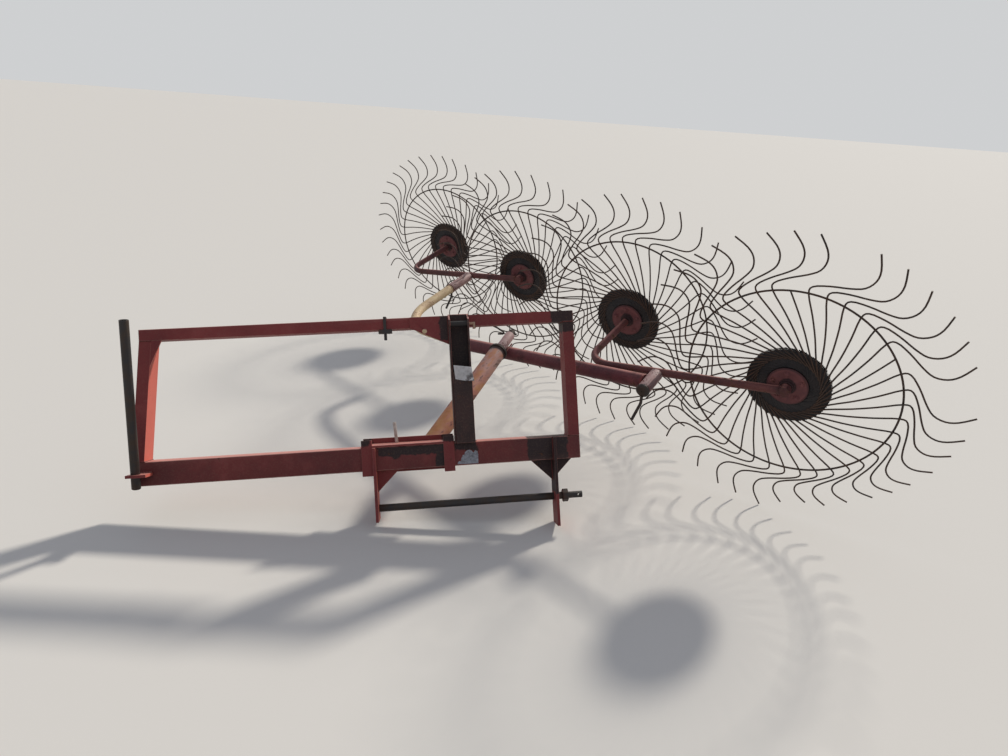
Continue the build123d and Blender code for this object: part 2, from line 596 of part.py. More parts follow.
# Tined wheel, built about the origin with its axle along y
def polar(ratio, degrees):
    """A point of the wheel's face, clockwise from the top as seen from the tractor."""
    angle = math.radians(degrees)
    return Vector(RIM_RADIUS * ratio * math.sin(angle), 0, RIM_RADIUS * ratio * math.cos(angle))


tine_outline = (
    (0.30, 60.0),
    (1.05, 0.3),
    (1.28, 21.8),
    (TIP_RATIO, 18.0),
)
tine_corner = TINE_WIRE / 1.5
tine_y = -(RIM_ROD + tine_corner) / 2
tine_path = Polyline(*[polar(ratio, angle) + Vector(0, tine_y, 0) for ratio, angle in tine_outline])
tine_plane = Plane(origin=tine_path @ 0, z_dir=tine_path % 0, x_dir=(0, 1, 0))
tine_section = tine_plane * RegularPolygon(tine_corner, 3, rotation=180)
tine = sweep(tine_section, path=tine_path, transition=Transition.RIGHT)

pack_face = RegularPolygon(PACK_RADIUS, TINE_COUNT) - RegularPolygon(HUB_BARREL_RADIUS, HUB_SIDES)
pack = extrude(Plane.XZ * pack_face, amount=PACK_THICK / 2, both=True)
tines = pack.fuse(*[Rot(0, 360.0 / TINE_COUNT * index, 0) * tine for index in range(TINE_COUNT)])

rim_face = RegularPolygon(RIM_RADIUS + RIM_ROD / 2, TINE_COUNT)
rim_face -= RegularPolygon(RIM_RADIUS - RIM_ROD / 2, TINE_COUNT)
rim = extrude(Plane.XZ * rim_face, amount=RIM_ROD / 2, both=True)

half_pack = PACK_THICK / 2
hub = disc((0, -HUB_HALF, 0), (0, HUB_HALF, 0), HUB_BARREL_RADIUS, HUB_SIDES)
hub += disc((0, -half_pack - HUB_FLANGE_THICK, 0), (0, -half_pack, 0), HUB_FLANGE_RADIUS, HUB_SIDES)
hub += disc((0, -half_pack - HUB_DISH, 0), (0, -half_pack, 0), HUB_FLANGE_RADIUS / 2, HUB_SIDES)
hub += disc((0, half_pack, 0), (0, half_pack + HUB_FLANGE_THICK, 0), HUB_BACK_RADIUS, HUB_SIDES)
hub -= rod((0, -HUB_HALF, 0), (0, HUB_HALF, 0), SPINDLE_RADIUS + RUNNING_FIT)
for index in range(HUB_BOLTS):
    head = Pos(0, -half_pack - HUB_FLANGE_THICK - HUB_BOLT_HEAD, 0) * Rot(-90, 0, 0) * extrude(
        RegularPolygon(HUB_BOLT_ACROSS / 2, 6), amount=HUB_BOLT_HEAD + 3
    )
    hub += Rot(0, 360.0 / HUB_BOLTS * index, 0) * Pos(0, 0, HUB_BOLT_CIRCLE) * head

for index in range(WHEEL_COUNT):
    number = str(index + 1)
    seat = gang_place * Location((-index * ROW_STEP, index * AXLE_STEP, 0))
    save(seat * tines, "wheel_" + number + "_tines")
    save(seat * rim, "wheel_" + number + "_rim")
    save(seat * hub, "wheel_" + number + "_hub")

# The whole is set over its footprint's middle and written out
boxes = [shape.bounding_box() for shape in pieces.values()]
centre_x = (min(box.min.X for box in boxes) + max(box.max.X for box in boxes)) / 2
centre_y = (min(box.min.Y for box in boxes) + max(box.max.Y for box in boxes)) / 2
shift = Vector(-centre_x, -centre_y, -min(box.min.Z for box in boxes))
to_origin = Location(shift)
for name, shape in pieces.items():
    piece = to_origin * shape
    piece.label = name
    export_step(piece, "parts/" + name + ".step")

for label, spot in (
    ("shift", shift),
    ("hub_1", gang_point(0, 0) + shift),
    ("hub_2", gang_point(-ROW_STEP, AXLE_STEP) + shift),
    ("hub_3", gang_point(-2 * ROW_STEP, 2 * AXLE_STEP) + shift),
    ("hub_4", gang_point(-3 * ROW_STEP, 3 * AXLE_STEP) + shift),
    ("boom_pivot", pivot_at + shift),
    ("tube_axis", tube_axis),
    ("axle", axle_dir),
    ("face", face_dir),
    ("front_crank", gang_point(-FRONT_PIVOT, -CRANK_AHEAD) + shift),
    ("rear_crank", gang_point(leg_x, rear_bar_y) + shift),
    ("hitch_pin", head_point((pin_left + pin_right) / 2, 0, bar_z) + shift),
    ("head_origin", head_point(0, 0, 0) + shift),
    ("link_pin", head_point(0, link_y, LINK_PIN_Z) + shift),
    ("head_x", head_point(1, 0, 0) - head_point(0, 0, 0)),
    ("head_y", head_point(0, 1, 0) - head_point(0, 0, 0)),
    ("head_z", head_point(0, 0, 1) - head_point(0, 0, 0)),
):
    print(label, round(spot.X, 5), round(spot.Y, 5), round(spot.Z, 5))
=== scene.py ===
import json
import math
import random

import bmesh
import bpy
from mathutils import Matrix, Vector


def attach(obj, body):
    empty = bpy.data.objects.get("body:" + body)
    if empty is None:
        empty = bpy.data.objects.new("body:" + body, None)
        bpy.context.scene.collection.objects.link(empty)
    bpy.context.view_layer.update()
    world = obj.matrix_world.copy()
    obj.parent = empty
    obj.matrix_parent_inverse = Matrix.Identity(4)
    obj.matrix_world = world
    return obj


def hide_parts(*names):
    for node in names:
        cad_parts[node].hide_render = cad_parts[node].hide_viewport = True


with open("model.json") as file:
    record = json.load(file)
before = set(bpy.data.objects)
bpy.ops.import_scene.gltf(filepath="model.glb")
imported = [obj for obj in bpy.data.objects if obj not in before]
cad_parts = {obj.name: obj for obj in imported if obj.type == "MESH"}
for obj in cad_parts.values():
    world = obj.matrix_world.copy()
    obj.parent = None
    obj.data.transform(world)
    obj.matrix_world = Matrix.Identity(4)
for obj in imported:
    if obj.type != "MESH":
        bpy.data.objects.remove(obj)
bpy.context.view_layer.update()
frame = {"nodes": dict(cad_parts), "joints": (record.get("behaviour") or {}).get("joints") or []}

# Camera, floor and light
# The camera stands ahead of the headstock at a tall person's eye height and looks
# down at the rake. A broad soft sun shines from behind on the right and an even sky
# fills the shaded fronts, above a plain pale floor.
CAMERA_FROM_HUB = Vector((-1.6350, -2.7780, 1.0401))
CAMERA_HEADING = 8.10
CAMERA_DOWN = 20.36
CAMERA_ROLL = 4.28
LENS_MM = 26.06
SENSOR_MM = 36.0
SUN_FROM = Vector((0.582, 0.607, 0.537))
SUN_STRENGTH = 2.9
SUN_SPREAD = 5
SUN_COLOUR = (1.0, 0.95, 0.86)
FLOOR_SIZE = 150.0
FLOOR_SEEN = (0.80, 0.77, 0.72, 1)
FLOOR_BOUNCE = (0.38, 0.35, 0.31, 1)
SKY_SEEN = (0.62, 0.63, 0.64, 1)
SKY_FILL = (0.325, 0.345, 0.395, 1)
scene = bpy.context.scene
scene.view_settings.view_transform = "Standard"
joints = {joint["name"]: joint for joint in frame["joints"]}
hubs = [Vector(joints["wheel_%d_spin" % (number + 1)]["pos_m"]) for number in range(4)]


def turn(degrees, axis):
    return Matrix.Rotation(math.radians(degrees), 4, axis)


eye = bpy.data.cameras.new("camera")
eye.lens = LENS_MM
eye.sensor_width = SENSOR_MM
camera = bpy.data.objects.new("camera", eye)
scene.collection.objects.link(camera)
camera.matrix_world = (
    Matrix.Translation(hubs[0] + CAMERA_FROM_HUB) @ turn(-CAMERA_HEADING, "Z")
    @ turn(90 - CAMERA_DOWN, "X") @ turn(CAMERA_ROLL, "Z")
)
scene.camera = camera

light = bpy.data.lights.new("soft_sun", "SUN")
light.energy = SUN_STRENGTH
light.angle = math.radians(SUN_SPREAD)
light.color = SUN_COLOUR
lamp = bpy.data.objects.new("soft_sun", light)
scene.collection.objects.link(lamp)
lamp.matrix_world = SUN_FROM.to_track_quat("Z", "Y").to_matrix().to_4x4()


class Field:
    """A value or colour that varies over a surface, so that shader maths reads as sums."""

    def __init__(self, tree, socket):
        self.tree = tree
        self.socket = socket

    def node(self, kind, settings=None, values=None, output=0):
        made = self.tree.nodes.new(kind)
        for key, setting in (settings or {}).items():
            setattr(made, key, setting)
        for key, value in (values or {}).items():
            if isinstance(value, Field):
                self.tree.links.new(value.socket, made.inputs[key])
            else:
                made.inputs[key].default_value = value
        return Field(self.tree, made.outputs[output])

    def math(self, operation, other=0.0):
        return self.node("ShaderNodeMath", {"operation": operation}, {0: self, 1: other})

    def vector(self, operation, other=(0, 0, 0), output=0):
        """Vector maths of this place or direction with a fixed one."""
        values = {0: self, 1: tuple(other)}
        return self.node("ShaderNodeVectorMath", {"operation": operation}, values, output)

    def __add__(self, other):
        return self.math("ADD", other)

    def __sub__(self, other):
        return self.math("SUBTRACT", other)

    def __mul__(self, other):
        return self.math("MULTIPLY", other)

    def __rsub__(self, other):
        return self.node("ShaderNodeMath", {"operation": "SUBTRACT"}, {0: other, 1: self})

    __radd__ = __add__
    __rmul__ = __mul__

    def least(self, other):
        return self.math("MINIMUM", other)

    def most(self, other):
        return self.math("MAXIMUM", other)

    def between(self, low, high):
        """0 below low and 1 above high."""
        return self.node("ShaderNodeMapRange", {"clamp": True}, {0: self, 1: low, 2: high})

    def along(self, direction, origin=(0, 0, 0)):
        """How far this place lies from the origin along a direction."""
        return self.vector("SUBTRACT", origin).vector("DOT_PRODUCT", direction, "Value")

    def drawn_out(self, *ways, origin=(0, 0, 0)):
        """This place measured along three directions, each with its own scale."""
        values = {}
        for index, (direction, scale) in enumerate(ways):
            values[index] = self.along(direction, origin) * scale
        return self.node("ShaderNodeCombineXYZ", {}, values)

    def grain(self, scale, detail=6.0, rough=0.6):
        values = {"Vector": self, "Scale": scale, "Detail": detail, "Roughness": rough}
        return self.node("ShaderNodeTexNoise", {}, values)

    def blend(self, low, high):
        """One colour where this is 0 and the other where it is 1."""
        return self.node("ShaderNodeMix", {"data_type": "RGBA"}, {0: self, 6: low, 7: high}, 2)

    def tint(self, colour, amount):
        """This colour with another laid over it by an amount."""
        return self.node("ShaderNodeMix", {"data_type": "RGBA"}, {0: amount, 6: self, 7: colour}, 2)


def seen(start):
    """1 for what the camera sees straight, in gloss or through glass, and 0 for bounced light."""
    rays = [start.node("ShaderNodeLightPath", output=ray)
            for ray in ("Is Camera Ray", "Is Glossy Ray", "Is Transmission Ray")]
    return rays[0].most(rays[1]).most(rays[2])


def finish_for(name):
    """A new material, its shader and the place on the resting object."""
    material = bpy.data.materials.new(name)
    material.use_nodes = True
    tree = material.node_tree
    shader = tree.nodes["Principled BSDF"]
    place = Field(tree, None).node("ShaderNodeTexCoord", output="Object")
    return material, shader, place


world = bpy.data.worlds.new("soft_sky")
world.use_nodes = True
sky = world.node_tree.nodes["Background"]
sky_colour = seen(Field(world.node_tree, None)).blend(SKY_FILL, SKY_SEEN)
world.node_tree.links.new(sky_colour.socket, sky.inputs["Color"])
scene.world = world

floor_mesh = bpy.data.meshes.new("floor")
shape = bmesh.new()
bmesh.ops.create_grid(shape, x_segments=1, y_segments=1, size=FLOOR_SIZE)
shape.to_mesh(floor_mesh)
floor = bpy.data.objects.new("floor", floor_mesh)
scene.collection.objects.link(floor)
floor_finish, shader, place = finish_for("pale_floor")
floor_colour = seen(place).blend(FLOOR_BOUNCE, FLOOR_SEEN)
floor_finish.node_tree.links.new(floor_colour.socket, shader.inputs["Base Color"])
shader.inputs["Roughness"].default_value = 0.95
shader.inputs["Specular IOR Level"].default_value = 0.1
floor_mesh.materials.append(floor_finish)

# Headstock frame
# Square and flat steel tubes welded into a long frame that leans back on its hitch
# plates. Its red paint has faded, worn through to rust in spots and been patched
# with black. The upward sides are bleached and chalky and lighter with painted sunlight,
# the sides that face right carry a painted salmon sunlight, and the edges are rubbed.
HEAD_FROM_HUB = Vector((-1.3740, 0.0930, -0.38896))
HEAD_SPOT = hubs[0] + HEAD_FROM_HUB
HEAD_YAW, HEAD_LEAN, HEAD_TILT = -1.9, -21.0, -5.2
head = (Matrix.Translation(HEAD_SPOT) @ turn(HEAD_YAW, "Z") @ turn(HEAD_LEAN, "X")
        @ turn(HEAD_TILT, "Y"))
HEAD_X, HEAD_Y, HEAD_Z = (head.to_3x3().col[index] for index in range(3))
FADED_RED = (0.30, 0.056, 0.053, 1)
DEEP_RED = (0.185, 0.034, 0.036, 1)
CHALKY_RED = (0.40, 0.115, 0.105, 1)
BEAM_RED = (0.225, 0.045, 0.042, 1)
BEAM_DEEP = (0.115, 0.028, 0.029, 1)
# The next two colours: upward faces, sun-bleached and lighter with painted sunlight; then painted
# sunlight on the sides that face right.
BLEACHED_AND_SUNLIT_RED = (0.70, 0.31, 0.265, 1)
PAINTED_SUNLIT_SALMON = (0.72, 0.17, 0.125, 1)
RUBBED_EDGE = (0.50, 0.26, 0.22, 1)
RUST = (0.105, 0.044, 0.024, 1)
BLACK_PAINT = (0.016, 0.013, 0.015, 1)
DUST = (0.36, 0.27, 0.18, 1)
PAINT_GLOSS = 0.28
PAINT_BUMP = 0.0016
BEAM_ROUND, RAIL_ROUND, PLATE_ROUND = 0.005, 0.0035, 0.0015


def feed(shader, place, colour, rough, height, depth):
    """Links what varies to the shader, with a bump of the height, depth metres deep."""
    tree = place.tree
    bump = place.node("ShaderNodeBump", {}, {"Height": height, "Distance": depth, "Strength": 0.7})
    for key, value in (("Base Color", colour), ("Roughness", rough), ("Normal", bump)):
        tree.links.new(value.socket, shader.inputs[key])


def old_paint(name, colour, deep, chalk, rust=0.5, patches=(), dark=0.0, squared=False):
    """Worn paint: faded clouds, rusty chips, and black patches in the headstock's x and z.

    Squared paint, on pieces square to the headstock, is also rubbed at the edges and
    salmon with painted sunlight on the sides that face right. All paint is bleached on
    its upward faces and lighter there with painted sunlight, a narrow top highlight on round parts.
    """
    material, shader, place = finish_for(name)
    shader.inputs["Specular IOR Level"].default_value = PAINT_GLOSS
    normal = place.node("ShaderNodeTexCoord", output="Normal")
    clouds = place.grain(3.2, 4.0)
    mottle = place.grain(21.0, 8.0, 0.65)
    speck = place.grain(140.0, 4.0)
    paint = clouds.between(0.35, 0.68).blend(deep, colour)
    paint = paint.tint(chalk, (mottle * 0.6 + clouds * 0.5).between(0.58, 0.84) * 0.5)
    upward = normal.along((0, 0.25, 0.97))
    # Upward faces are sun-bleached and also carry painted sunlight: broad on square pieces, a
    # narrow painted top highlight on round ones.
    bleached_and_sunlit = upward.between(0.50, 0.92) if squared else upward.between(0.76, 0.96)
    paint = paint.tint(BLEACHED_AND_SUNLIT_RED, bleached_and_sunlit * (0.55 + mottle * 0.5) * (1 - dark))
    across = place.along(HEAD_X, HEAD_SPOT)
    height = place.along(HEAD_Z, HEAD_SPOT)
    wobble = place.grain(26.0, 6.0, 0.7) - 0.5
    black = None
    for left, right, low, high in patches:
        inside = (across - left).least(right - across).least((height - low).least(high - height))
        mask = (inside + wobble * 0.045).between(0.0, 0.006)
        black = mask if black is None else black.most(mask)
    if black is not None:
        paint = paint.tint(BLACK_PAINT, black * 0.93)
    if dark > 0:
        grease = place.grain(8.0, 7.0, 0.7).between(0.62 - dark * 0.5, 0.80 - dark * 0.4)
        paint = paint.tint(BLACK_PAINT, grease * 0.85)
    if squared:
        flat = normal.along(HEAD_X).math("ABSOLUTE").most(normal.along(HEAD_Y).math("ABSOLUTE"))
        corner = 1 - flat.most(normal.along(HEAD_Z).math("ABSOLUTE"))
        rubbed = corner.between(0.01, 0.12) * mottle.between(0.32, 0.52)
        paint = paint.tint(RUBBED_EDGE, rubbed * 0.7)
        # Painted sunlight: salmon on the sides that face right, toward the sun.
        painted_sunlit_side = normal.along(HEAD_X).between(0.60, 0.85)
        paint = paint.tint(PAINTED_SUNLIT_SALMON, painted_sunlit_side * (0.70 + mottle * 0.3))
    chips = (mottle * 0.7 + speck * 0.3).between(0.66 - 0.12 * rust, 0.69 - 0.11 * rust)
    paint = paint.tint(RUST, chips * 0.85)
    paint = paint.tint(DUST, speck.between(0.48, 0.72) * (0.10 + upward.between(0.2, 0.9) * 0.14))
    rough = 0.50 + chips * 0.3 + speck * 0.14
    relief = mottle * 0.4 + speck * 0.25 - chips * 0.5
    feed(shader, place, paint, rough, relief, PAINT_BUMP)
    return material


def dress(material, *nodes):
    """Gives CAD nodes a finish."""
    for node in nodes:
        for place in frame["nodes"][node].material_slots:
            place.material = material


def soften(width, *nodes):
    """Rounds the sharp edges of CAD nodes."""
    for node in nodes:
        thing = frame["nodes"][node]
        thing.modifiers.new("join", "WELD").merge_threshold = 0.00002
        bevel = thing.modifiers.new("round", "BEVEL")
        bevel.width = width
        bevel.segments = 3
        bevel.limit_method = "ANGLE"
        bevel.angle_limit = math.radians(50)
        bevel.harden_normals = True


# Left, right, low and high edges of the black patches, in the headstock's own x and z.
FRAME_PATCHES = ((0.400, 0.515, 0.500, 0.62), (-0.084, -0.030, 0.490, 0.62))
BEAM_PATCHES = (
    (0.268, 0.452, -0.07, 0.07),
    (-0.312, -0.272, -0.002, 0.06),
    (-0.376, -0.086, 0.006, 0.06),
    (-0.128, -0.086, -0.050, 0.02),
    (-0.430, -0.392, 0.030, 0.06),
    (-0.050, 0.054, 0.012, 0.06),
)
RAILS = ("left_upper_beam", "right_upper_beam")
UPRIGHTS = ("left_upright", "right_upright", "corner_gusset", "mast_gusset")
frame_red = old_paint("frame_red_paint", FADED_RED, DEEP_RED, CHALKY_RED, rust=0.25,
                      patches=FRAME_PATCHES, squared=True)
beam_red = old_paint("beam_red_paint", BEAM_RED, BEAM_DEEP, CHALKY_RED, rust=0.35,
                     patches=BEAM_PATCHES, squared=True)
dress(frame_red, *RAILS, *UPRIGHTS)
dress(beam_red, "lower_beam")
soften(BEAM_ROUND, "lower_beam")
soften(RAIL_ROUND, *RAILS)
soften(PLATE_ROUND, *UPRIGHTS)

# Weld beads of the headstock
# Each joint of the frame was run round by hand with a stick electrode, which left a
# rippled bead of steel. The red paint went over the beads.
WELD_RED = (0.21, 0.043, 0.038, 1)
WELD_DEEP = (0.10, 0.026, 0.025, 1)
WELD_SHARP = 70
BEAD_SIDES = 7
BEAD_RIPPLE, BEAD_UNEVEN = 0.15, 0.13
FRONT, BACK, TOP, RAIL = -0.050, 0.048, 0.050, 0.549
# A bead's radius, then the corners of its line in the headstock's own x, y and z.
HEAD_WELDS = (
    (0.0032, (-1.326, FRONT, TOP), (-1.326, BACK, TOP), (-1.374, BACK, TOP)),
    (0.0032, (0.454, FRONT, TOP), (0.454, BACK, TOP), (0.502, BACK, TOP)),
    (0.0026, (-1.373, FRONT, TOP), (-1.327, FRONT, TOP)),
    (0.0026, (0.455, FRONT, TOP), (0.501, FRONT, TOP)),
    (0.0028, (-1.273, -0.040, RAIL), (-1.273, BACK, RAIL)),
    (0.0028, (0.454, FRONT, RAIL), (0.454, BACK, RAIL)),
    (0.0026, (-1.320, FRONT, RAIL), (-1.274, FRONT, RAIL)),
    (0.0026, (0.455, FRONT, RAIL), (0.501, FRONT, RAIL)),
    (0.0030, (-0.044, -0.010, 0.597), (-0.044, -0.010, RAIL), (-0.044, FRONT, RAIL)),
    (0.0030, (0.044, -0.010, 0.597), (0.044, -0.010, RAIL), (0.044, FRONT, RAIL),
     (0.044, FRONT, 0.597)),
    (0.0035, (-0.044, FRONT, TOP), (-0.044, -0.010, TOP), (0.044, -0.010, TOP),
     (0.044, FRONT, TOP)),
    (0.0035, (-0.044, FRONT, TOP), (0.044, FRONT, TOP)),
    (0.0028, (-0.208, FRONT - 0.002, 0.5495), (-0.046, FRONT - 0.002, 0.5495)),
    (0.0026, (-0.046, -0.058, 0.476), (-0.046, -0.058, 0.594)),
    (0.0032, (-0.382, -0.049, -0.050), (-0.382, 0.040, -0.050), (-0.394, 0.040, -0.050),
     (-0.394, -0.049, -0.050)),
    (0.0032, (0.394, -0.049, -0.050), (0.394, 0.040, -0.050), (0.382, 0.040, -0.050),
     (0.382, -0.049, -0.050)),
    (0.0028, (-0.382, FRONT, -0.048), (-0.382, FRONT, 0.049)),
    (0.0028, (-0.394, FRONT, -0.048), (-0.394, FRONT, 0.049)),
    (0.0028, (0.382, FRONT, -0.048), (0.382, FRONT, 0.049)),
    (0.0028, (0.394, FRONT, -0.048), (0.394, FRONT, 0.049)),
    (0.0026, (-0.381, -0.005, -0.146), (-0.381, -0.005, -0.051), (-0.286, -0.005, -0.051)),
    (0.0026, (0.381, -0.005, -0.146), (0.381, -0.005, -0.051), (0.286, -0.005, -0.051)),
    (0.0026, (0.395, -0.005, -0.128), (0.395, -0.005, -0.051), (0.472, -0.005, -0.051)),
    (0.0030, (-0.441, BACK, 0.051), (-0.441, -0.045, 0.051)),
    (0.0030, (-0.047, BACK, 0.051), (-0.047, -0.009, 0.051)),
    (0.0028, (-1.372, -0.0505, 0.007), (-1.296, -0.0505, 0.007)),
)
chance = random.Random(7)


def add_wire(shape, line, radius, sides, closed=False):
    """Sweeps a round bar along a line of points, with one radius or one for each point."""
    sizes = radius if isinstance(radius, list) else [radius] * len(line)
    rings = []
    count = len(line)
    side = None
    for index, spot in enumerate(line):
        ahead = line[(index + 1) % count] if closed else line[min(index + 1, count - 1)]
        behind = line[index - 1] if closed or index else spot
        way = (ahead - behind).normalized()
        side = way.orthogonal() if side is None else side
        side = (side - way * side.dot(way)).normalized()
        rise = way.cross(side)
        ring = []
        for corner in range(sides):
            angle = 2 * math.pi * corner / sides
            out = side * math.cos(angle) + rise * math.sin(angle)
            ring.append(shape.verts.new(spot + out * sizes[index]))
        rings.append(ring)
    pairs = list(zip(rings, rings[1:])) + ([(rings[-1], rings[0])] if closed else [])
    for first, second in pairs:
        for corner in range(sides):
            following = (corner + 1) % sides
            shape.faces.new((first[corner], first[following], second[following], second[corner]))
    if not closed:
        shape.faces.new(rings[0][::-1])
        shape.faces.new(rings[-1])


def add_bead(shape, points, radius, closed=False):
    """A rippled weld bead along a line of points."""
    line = []
    ends = points[1:] + [points[0]] if closed else points[1:]
    for start, end in zip(points, ends):
        steps = max(1, round((end - start).length / (radius * 0.7)))
        line += [start.lerp(end, step / steps) for step in range(steps)]
    if not closed:
        line.append(points[-1])
    sizes = []
    for index in range(len(line)):
        ripple = BEAD_RIPPLE * math.sin(index * 2.1)
        sizes.append(radius * (1.0 + ripple + chance.uniform(-BEAD_UNEVEN, BEAD_UNEVEN)))
    add_wire(shape, line, sizes, BEAD_SIDES, closed)


def place_piece(shape, name, material, body, matrix, *nodes):
    """Turns a built shape into a piece that rides on a body and stands for CAD nodes."""
    shape.transform(matrix)
    bmesh.ops.recalc_face_normals(shape, faces=shape.faces)
    mesh = bpy.data.meshes.new(name)
    shape.to_mesh(mesh)
    shape.free()
    mesh.materials.append(material)
    piece = bpy.data.objects.new(name, mesh)
    scene.collection.objects.link(piece)
    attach(piece, body)
    if nodes:
        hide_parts(*nodes)
    return piece


def smooth(piece, angle=40.0):
    """Shades a piece smooth, apart from edges sharper than the angle."""
    for polygon in piece.data.polygons:
        polygon.use_smooth = True
    piece.data.set_sharp_from_angle(angle=math.radians(angle))


weld_red = old_paint("painted_weld", WELD_RED, WELD_DEEP, CHALKY_RED, rust=0.7)
shape = bmesh.new()
for radius, *corners in HEAD_WELDS:
    add_bead(shape, [Vector(corner) for corner in corners], radius)
smooth(place_piece(shape, "headstock_welds", weld_red, "headstock", head), WELD_SHARP)

# Hitch plates, saddle and lug
# Cut from flat plate and welded under and over the lower beam. They carry the same
# paint with more black, rubbed bare where the tractor's links work on them.
PLATES = ("left_hitch_plate", "right_hitch_plate", "left_plate_gusset", "right_inner_gusset",
          "right_outer_gusset", "saddle_bracket", "pole_lug")
PLATE_PATCHES = ((0.30, 0.60, -0.20, 0.07), (-0.45, -0.40, 0.052, 0.10),
                 (-0.10, -0.04, 0.052, 0.10))
plate_red = old_paint("plate_red_paint", FADED_RED, DEEP_RED, CHALKY_RED, rust=0.55,
                      patches=PLATE_PATCHES, dark=0.12, squared=True)
dress(plate_red, *PLATES)
soften(PLATE_ROUND, *PLATES)

# Mast
# A steel channel that stands on the lower beam and carries the tractor's top link,
# with a plate over its lower half. Old grease has darkened it to brown black.
MAST_BROWN = (0.060, 0.030, 0.028, 1)
MAST_DEEP = (0.022, 0.014, 0.015, 1)
MAST_CHALK = (0.11, 0.05, 0.045, 1)
mast_dark = old_paint("greasy_mast_paint", MAST_BROWN, MAST_DEEP, MAST_CHALK, rust=0.5,
                      dark=0.3, squared=True)
dress(mast_dark, "mast", "mast_cover")
soften(PLATE_ROUND, "mast", "mast_cover")

# Bare and blackened steel: pins, nut, peg, clip and pole
# Turned or forged steel with thin dark paint or none, dull and stained by weather. The
# top link's pin is black in the mast, with grease and painted shade, and bare at its outer end.
WORN_STEEL = (0.66, 0.62, 0.60, 1)
STEEL_STAIN = (0.34, 0.27, 0.23, 1)
BLACK_STEEL = (0.030, 0.028, 0.030, 1)
BLACK_STAIN = (0.052, 0.034, 0.024, 1)
# The pin's black middle is grease together with painted shade inside the mast's channel.
PIN_GREASE_AND_SHADE = (0.020, 0.017, 0.018, 1)
PIN_END = (0.40, 0.28, 0.20, 1)
PIN_ROUND = 0.0012
PIN_BARE_FROM, PIN_BARE_TO = 0.0445, 0.0465
STEEL_BUMP, FINE_BUMP = 0.0010, 0.0006


def stained_steel(name, bright, stain, metal=0.6, rough=0.45):
    """Steel with a brown stain in clouds."""
    material, shader, place = finish_for(name)
    clouds = place.grain(18.0, 8.0, 0.65)
    speck = place.grain(190.0, 4.0)
    base = clouds.between(0.40, 0.62).blend(bright, stain)
    shader.inputs["Metallic"].default_value = metal
    rough = rough + clouds * 0.25 + speck * 0.1
    feed(shader, place, base, rough, clouds * 0.4 + speck * 0.4, STEEL_BUMP)
    return material


bare_steel = stained_steel("worn_bare_steel", WORN_STEEL, STEEL_STAIN)
black_steel = stained_steel("blackened_steel", BLACK_STEEL, BLACK_STAIN, metal=0.3, rough=0.4)
pin_finish, shader, place = finish_for("link_pin_steel_grease_and_painted_shade")
speck = place.grain(120.0, 5.0)
outside = place.along(HEAD_X, HEAD_SPOT).between(PIN_BARE_FROM, PIN_BARE_TO)
shader.inputs["Metallic"].default_value = 0.3
feed(shader, place, outside.blend(PIN_GREASE_AND_SHADE, PIN_END), 0.45 + speck * 0.3, speck, FINE_BUMP)
dress(pin_finish, "top_link_pin")
dress(bare_steel, "saddle_peg")
dress(black_steel, "hitch_bar", "hitch_nut", "stand_pole", "upper_beam_clip", "lynch_pin")
soften(PIN_ROUND, "hitch_bar", "hitch_nut", "upper_beam_clip", "saddle_peg", "lynch_pin",
       "stand_pole")

# Main tube
# A thick round tube from the saddle up to the boom, welded in at its foot. Its paint
# is sunburnt to tan and orange, with pink remains and dark streaks that run along it
# and black grease at the boom's end.
pivot = Vector(joints["boom_float"]["pos_m"])
tube_way = Vector(joints["boom_float"]["axis"]).normalized()
TUBE_RADIUS = 0.043
TUBE_SIDES = 64
TUBE_LIP = 0.002
SADDLE_BACK = 0.0585
SLEEVE_HALF = 0.075
COLLAR_THICK = 0.016
COLLAR_PLAY = 0.001
TUBE_GLOSS = 0.3
TUBE_BUMP = 0.0015
TUBE_TAN = (0.55, 0.29, 0.125, 1)
TUBE_ORANGE = (0.42, 0.165, 0.070, 1)
TUBE_PINK = (0.48, 0.19, 0.16, 1)
TUBE_GREY_PINK = (0.50, 0.36, 0.31, 1)
TUBE_STREAK = (0.10, 0.050, 0.038, 1)
TUBE_WELD = 0.0045
IN_PLACE = Matrix.Identity(4)
tube_paint, shader, place = finish_for("sunburnt_tube_paint")
shader.inputs["Specular IOR Level"].default_value = TUBE_GLOSS
length = place.along(tube_way, pivot)
tube_level = tube_way.cross(Vector((0, 0, 1))).normalized()
streaks = place.drawn_out((tube_level, 30.0), (tube_way, 2.2), (HEAD_Z, 18.0), origin=pivot)
streaks = streaks.grain(1.0, 6.0, 0.6)
clouds = place.grain(12.0, 8.0, 0.65)
speck = place.grain(150.0, 3.0)
tan = clouds.between(0.35, 0.65).blend(TUBE_TAN, TUBE_ORANGE)
tan = tan.tint(TUBE_PINK, (streaks + length * 0.15).between(0.32, 0.50) * 0.9)
faded = length.between(-0.42, -0.20) * streaks.between(0.42, 0.58)
tan = tan.tint(TUBE_GREY_PINK, faded * 0.8)
tan = tan.tint(TUBE_STREAK, streaks.between(0.55, 0.60) * 0.75)
tan = tan.tint(BLACK_PAINT, (length + (clouds - 0.5) * 0.03).between(-0.122, -0.110) * 0.9)
tan = tan.tint(RUST, (streaks * 0.5 + clouds * 0.5).between(0.58, 0.64) * 0.8)
feed(shader, place, tan, 0.5 + clouds * 0.25, streaks * 0.4 + speck * 0.3, TUBE_BUMP)
tube_end = pivot - tube_way * (SLEEVE_HALF + COLLAR_THICK + COLLAR_PLAY)
saddle_back = head @ Vector((0, SADDLE_BACK, 0))
tube_side = tube_way.orthogonal().normalized()
tube_rise = tube_way.cross(tube_side)
shape = bmesh.new()
rings = []
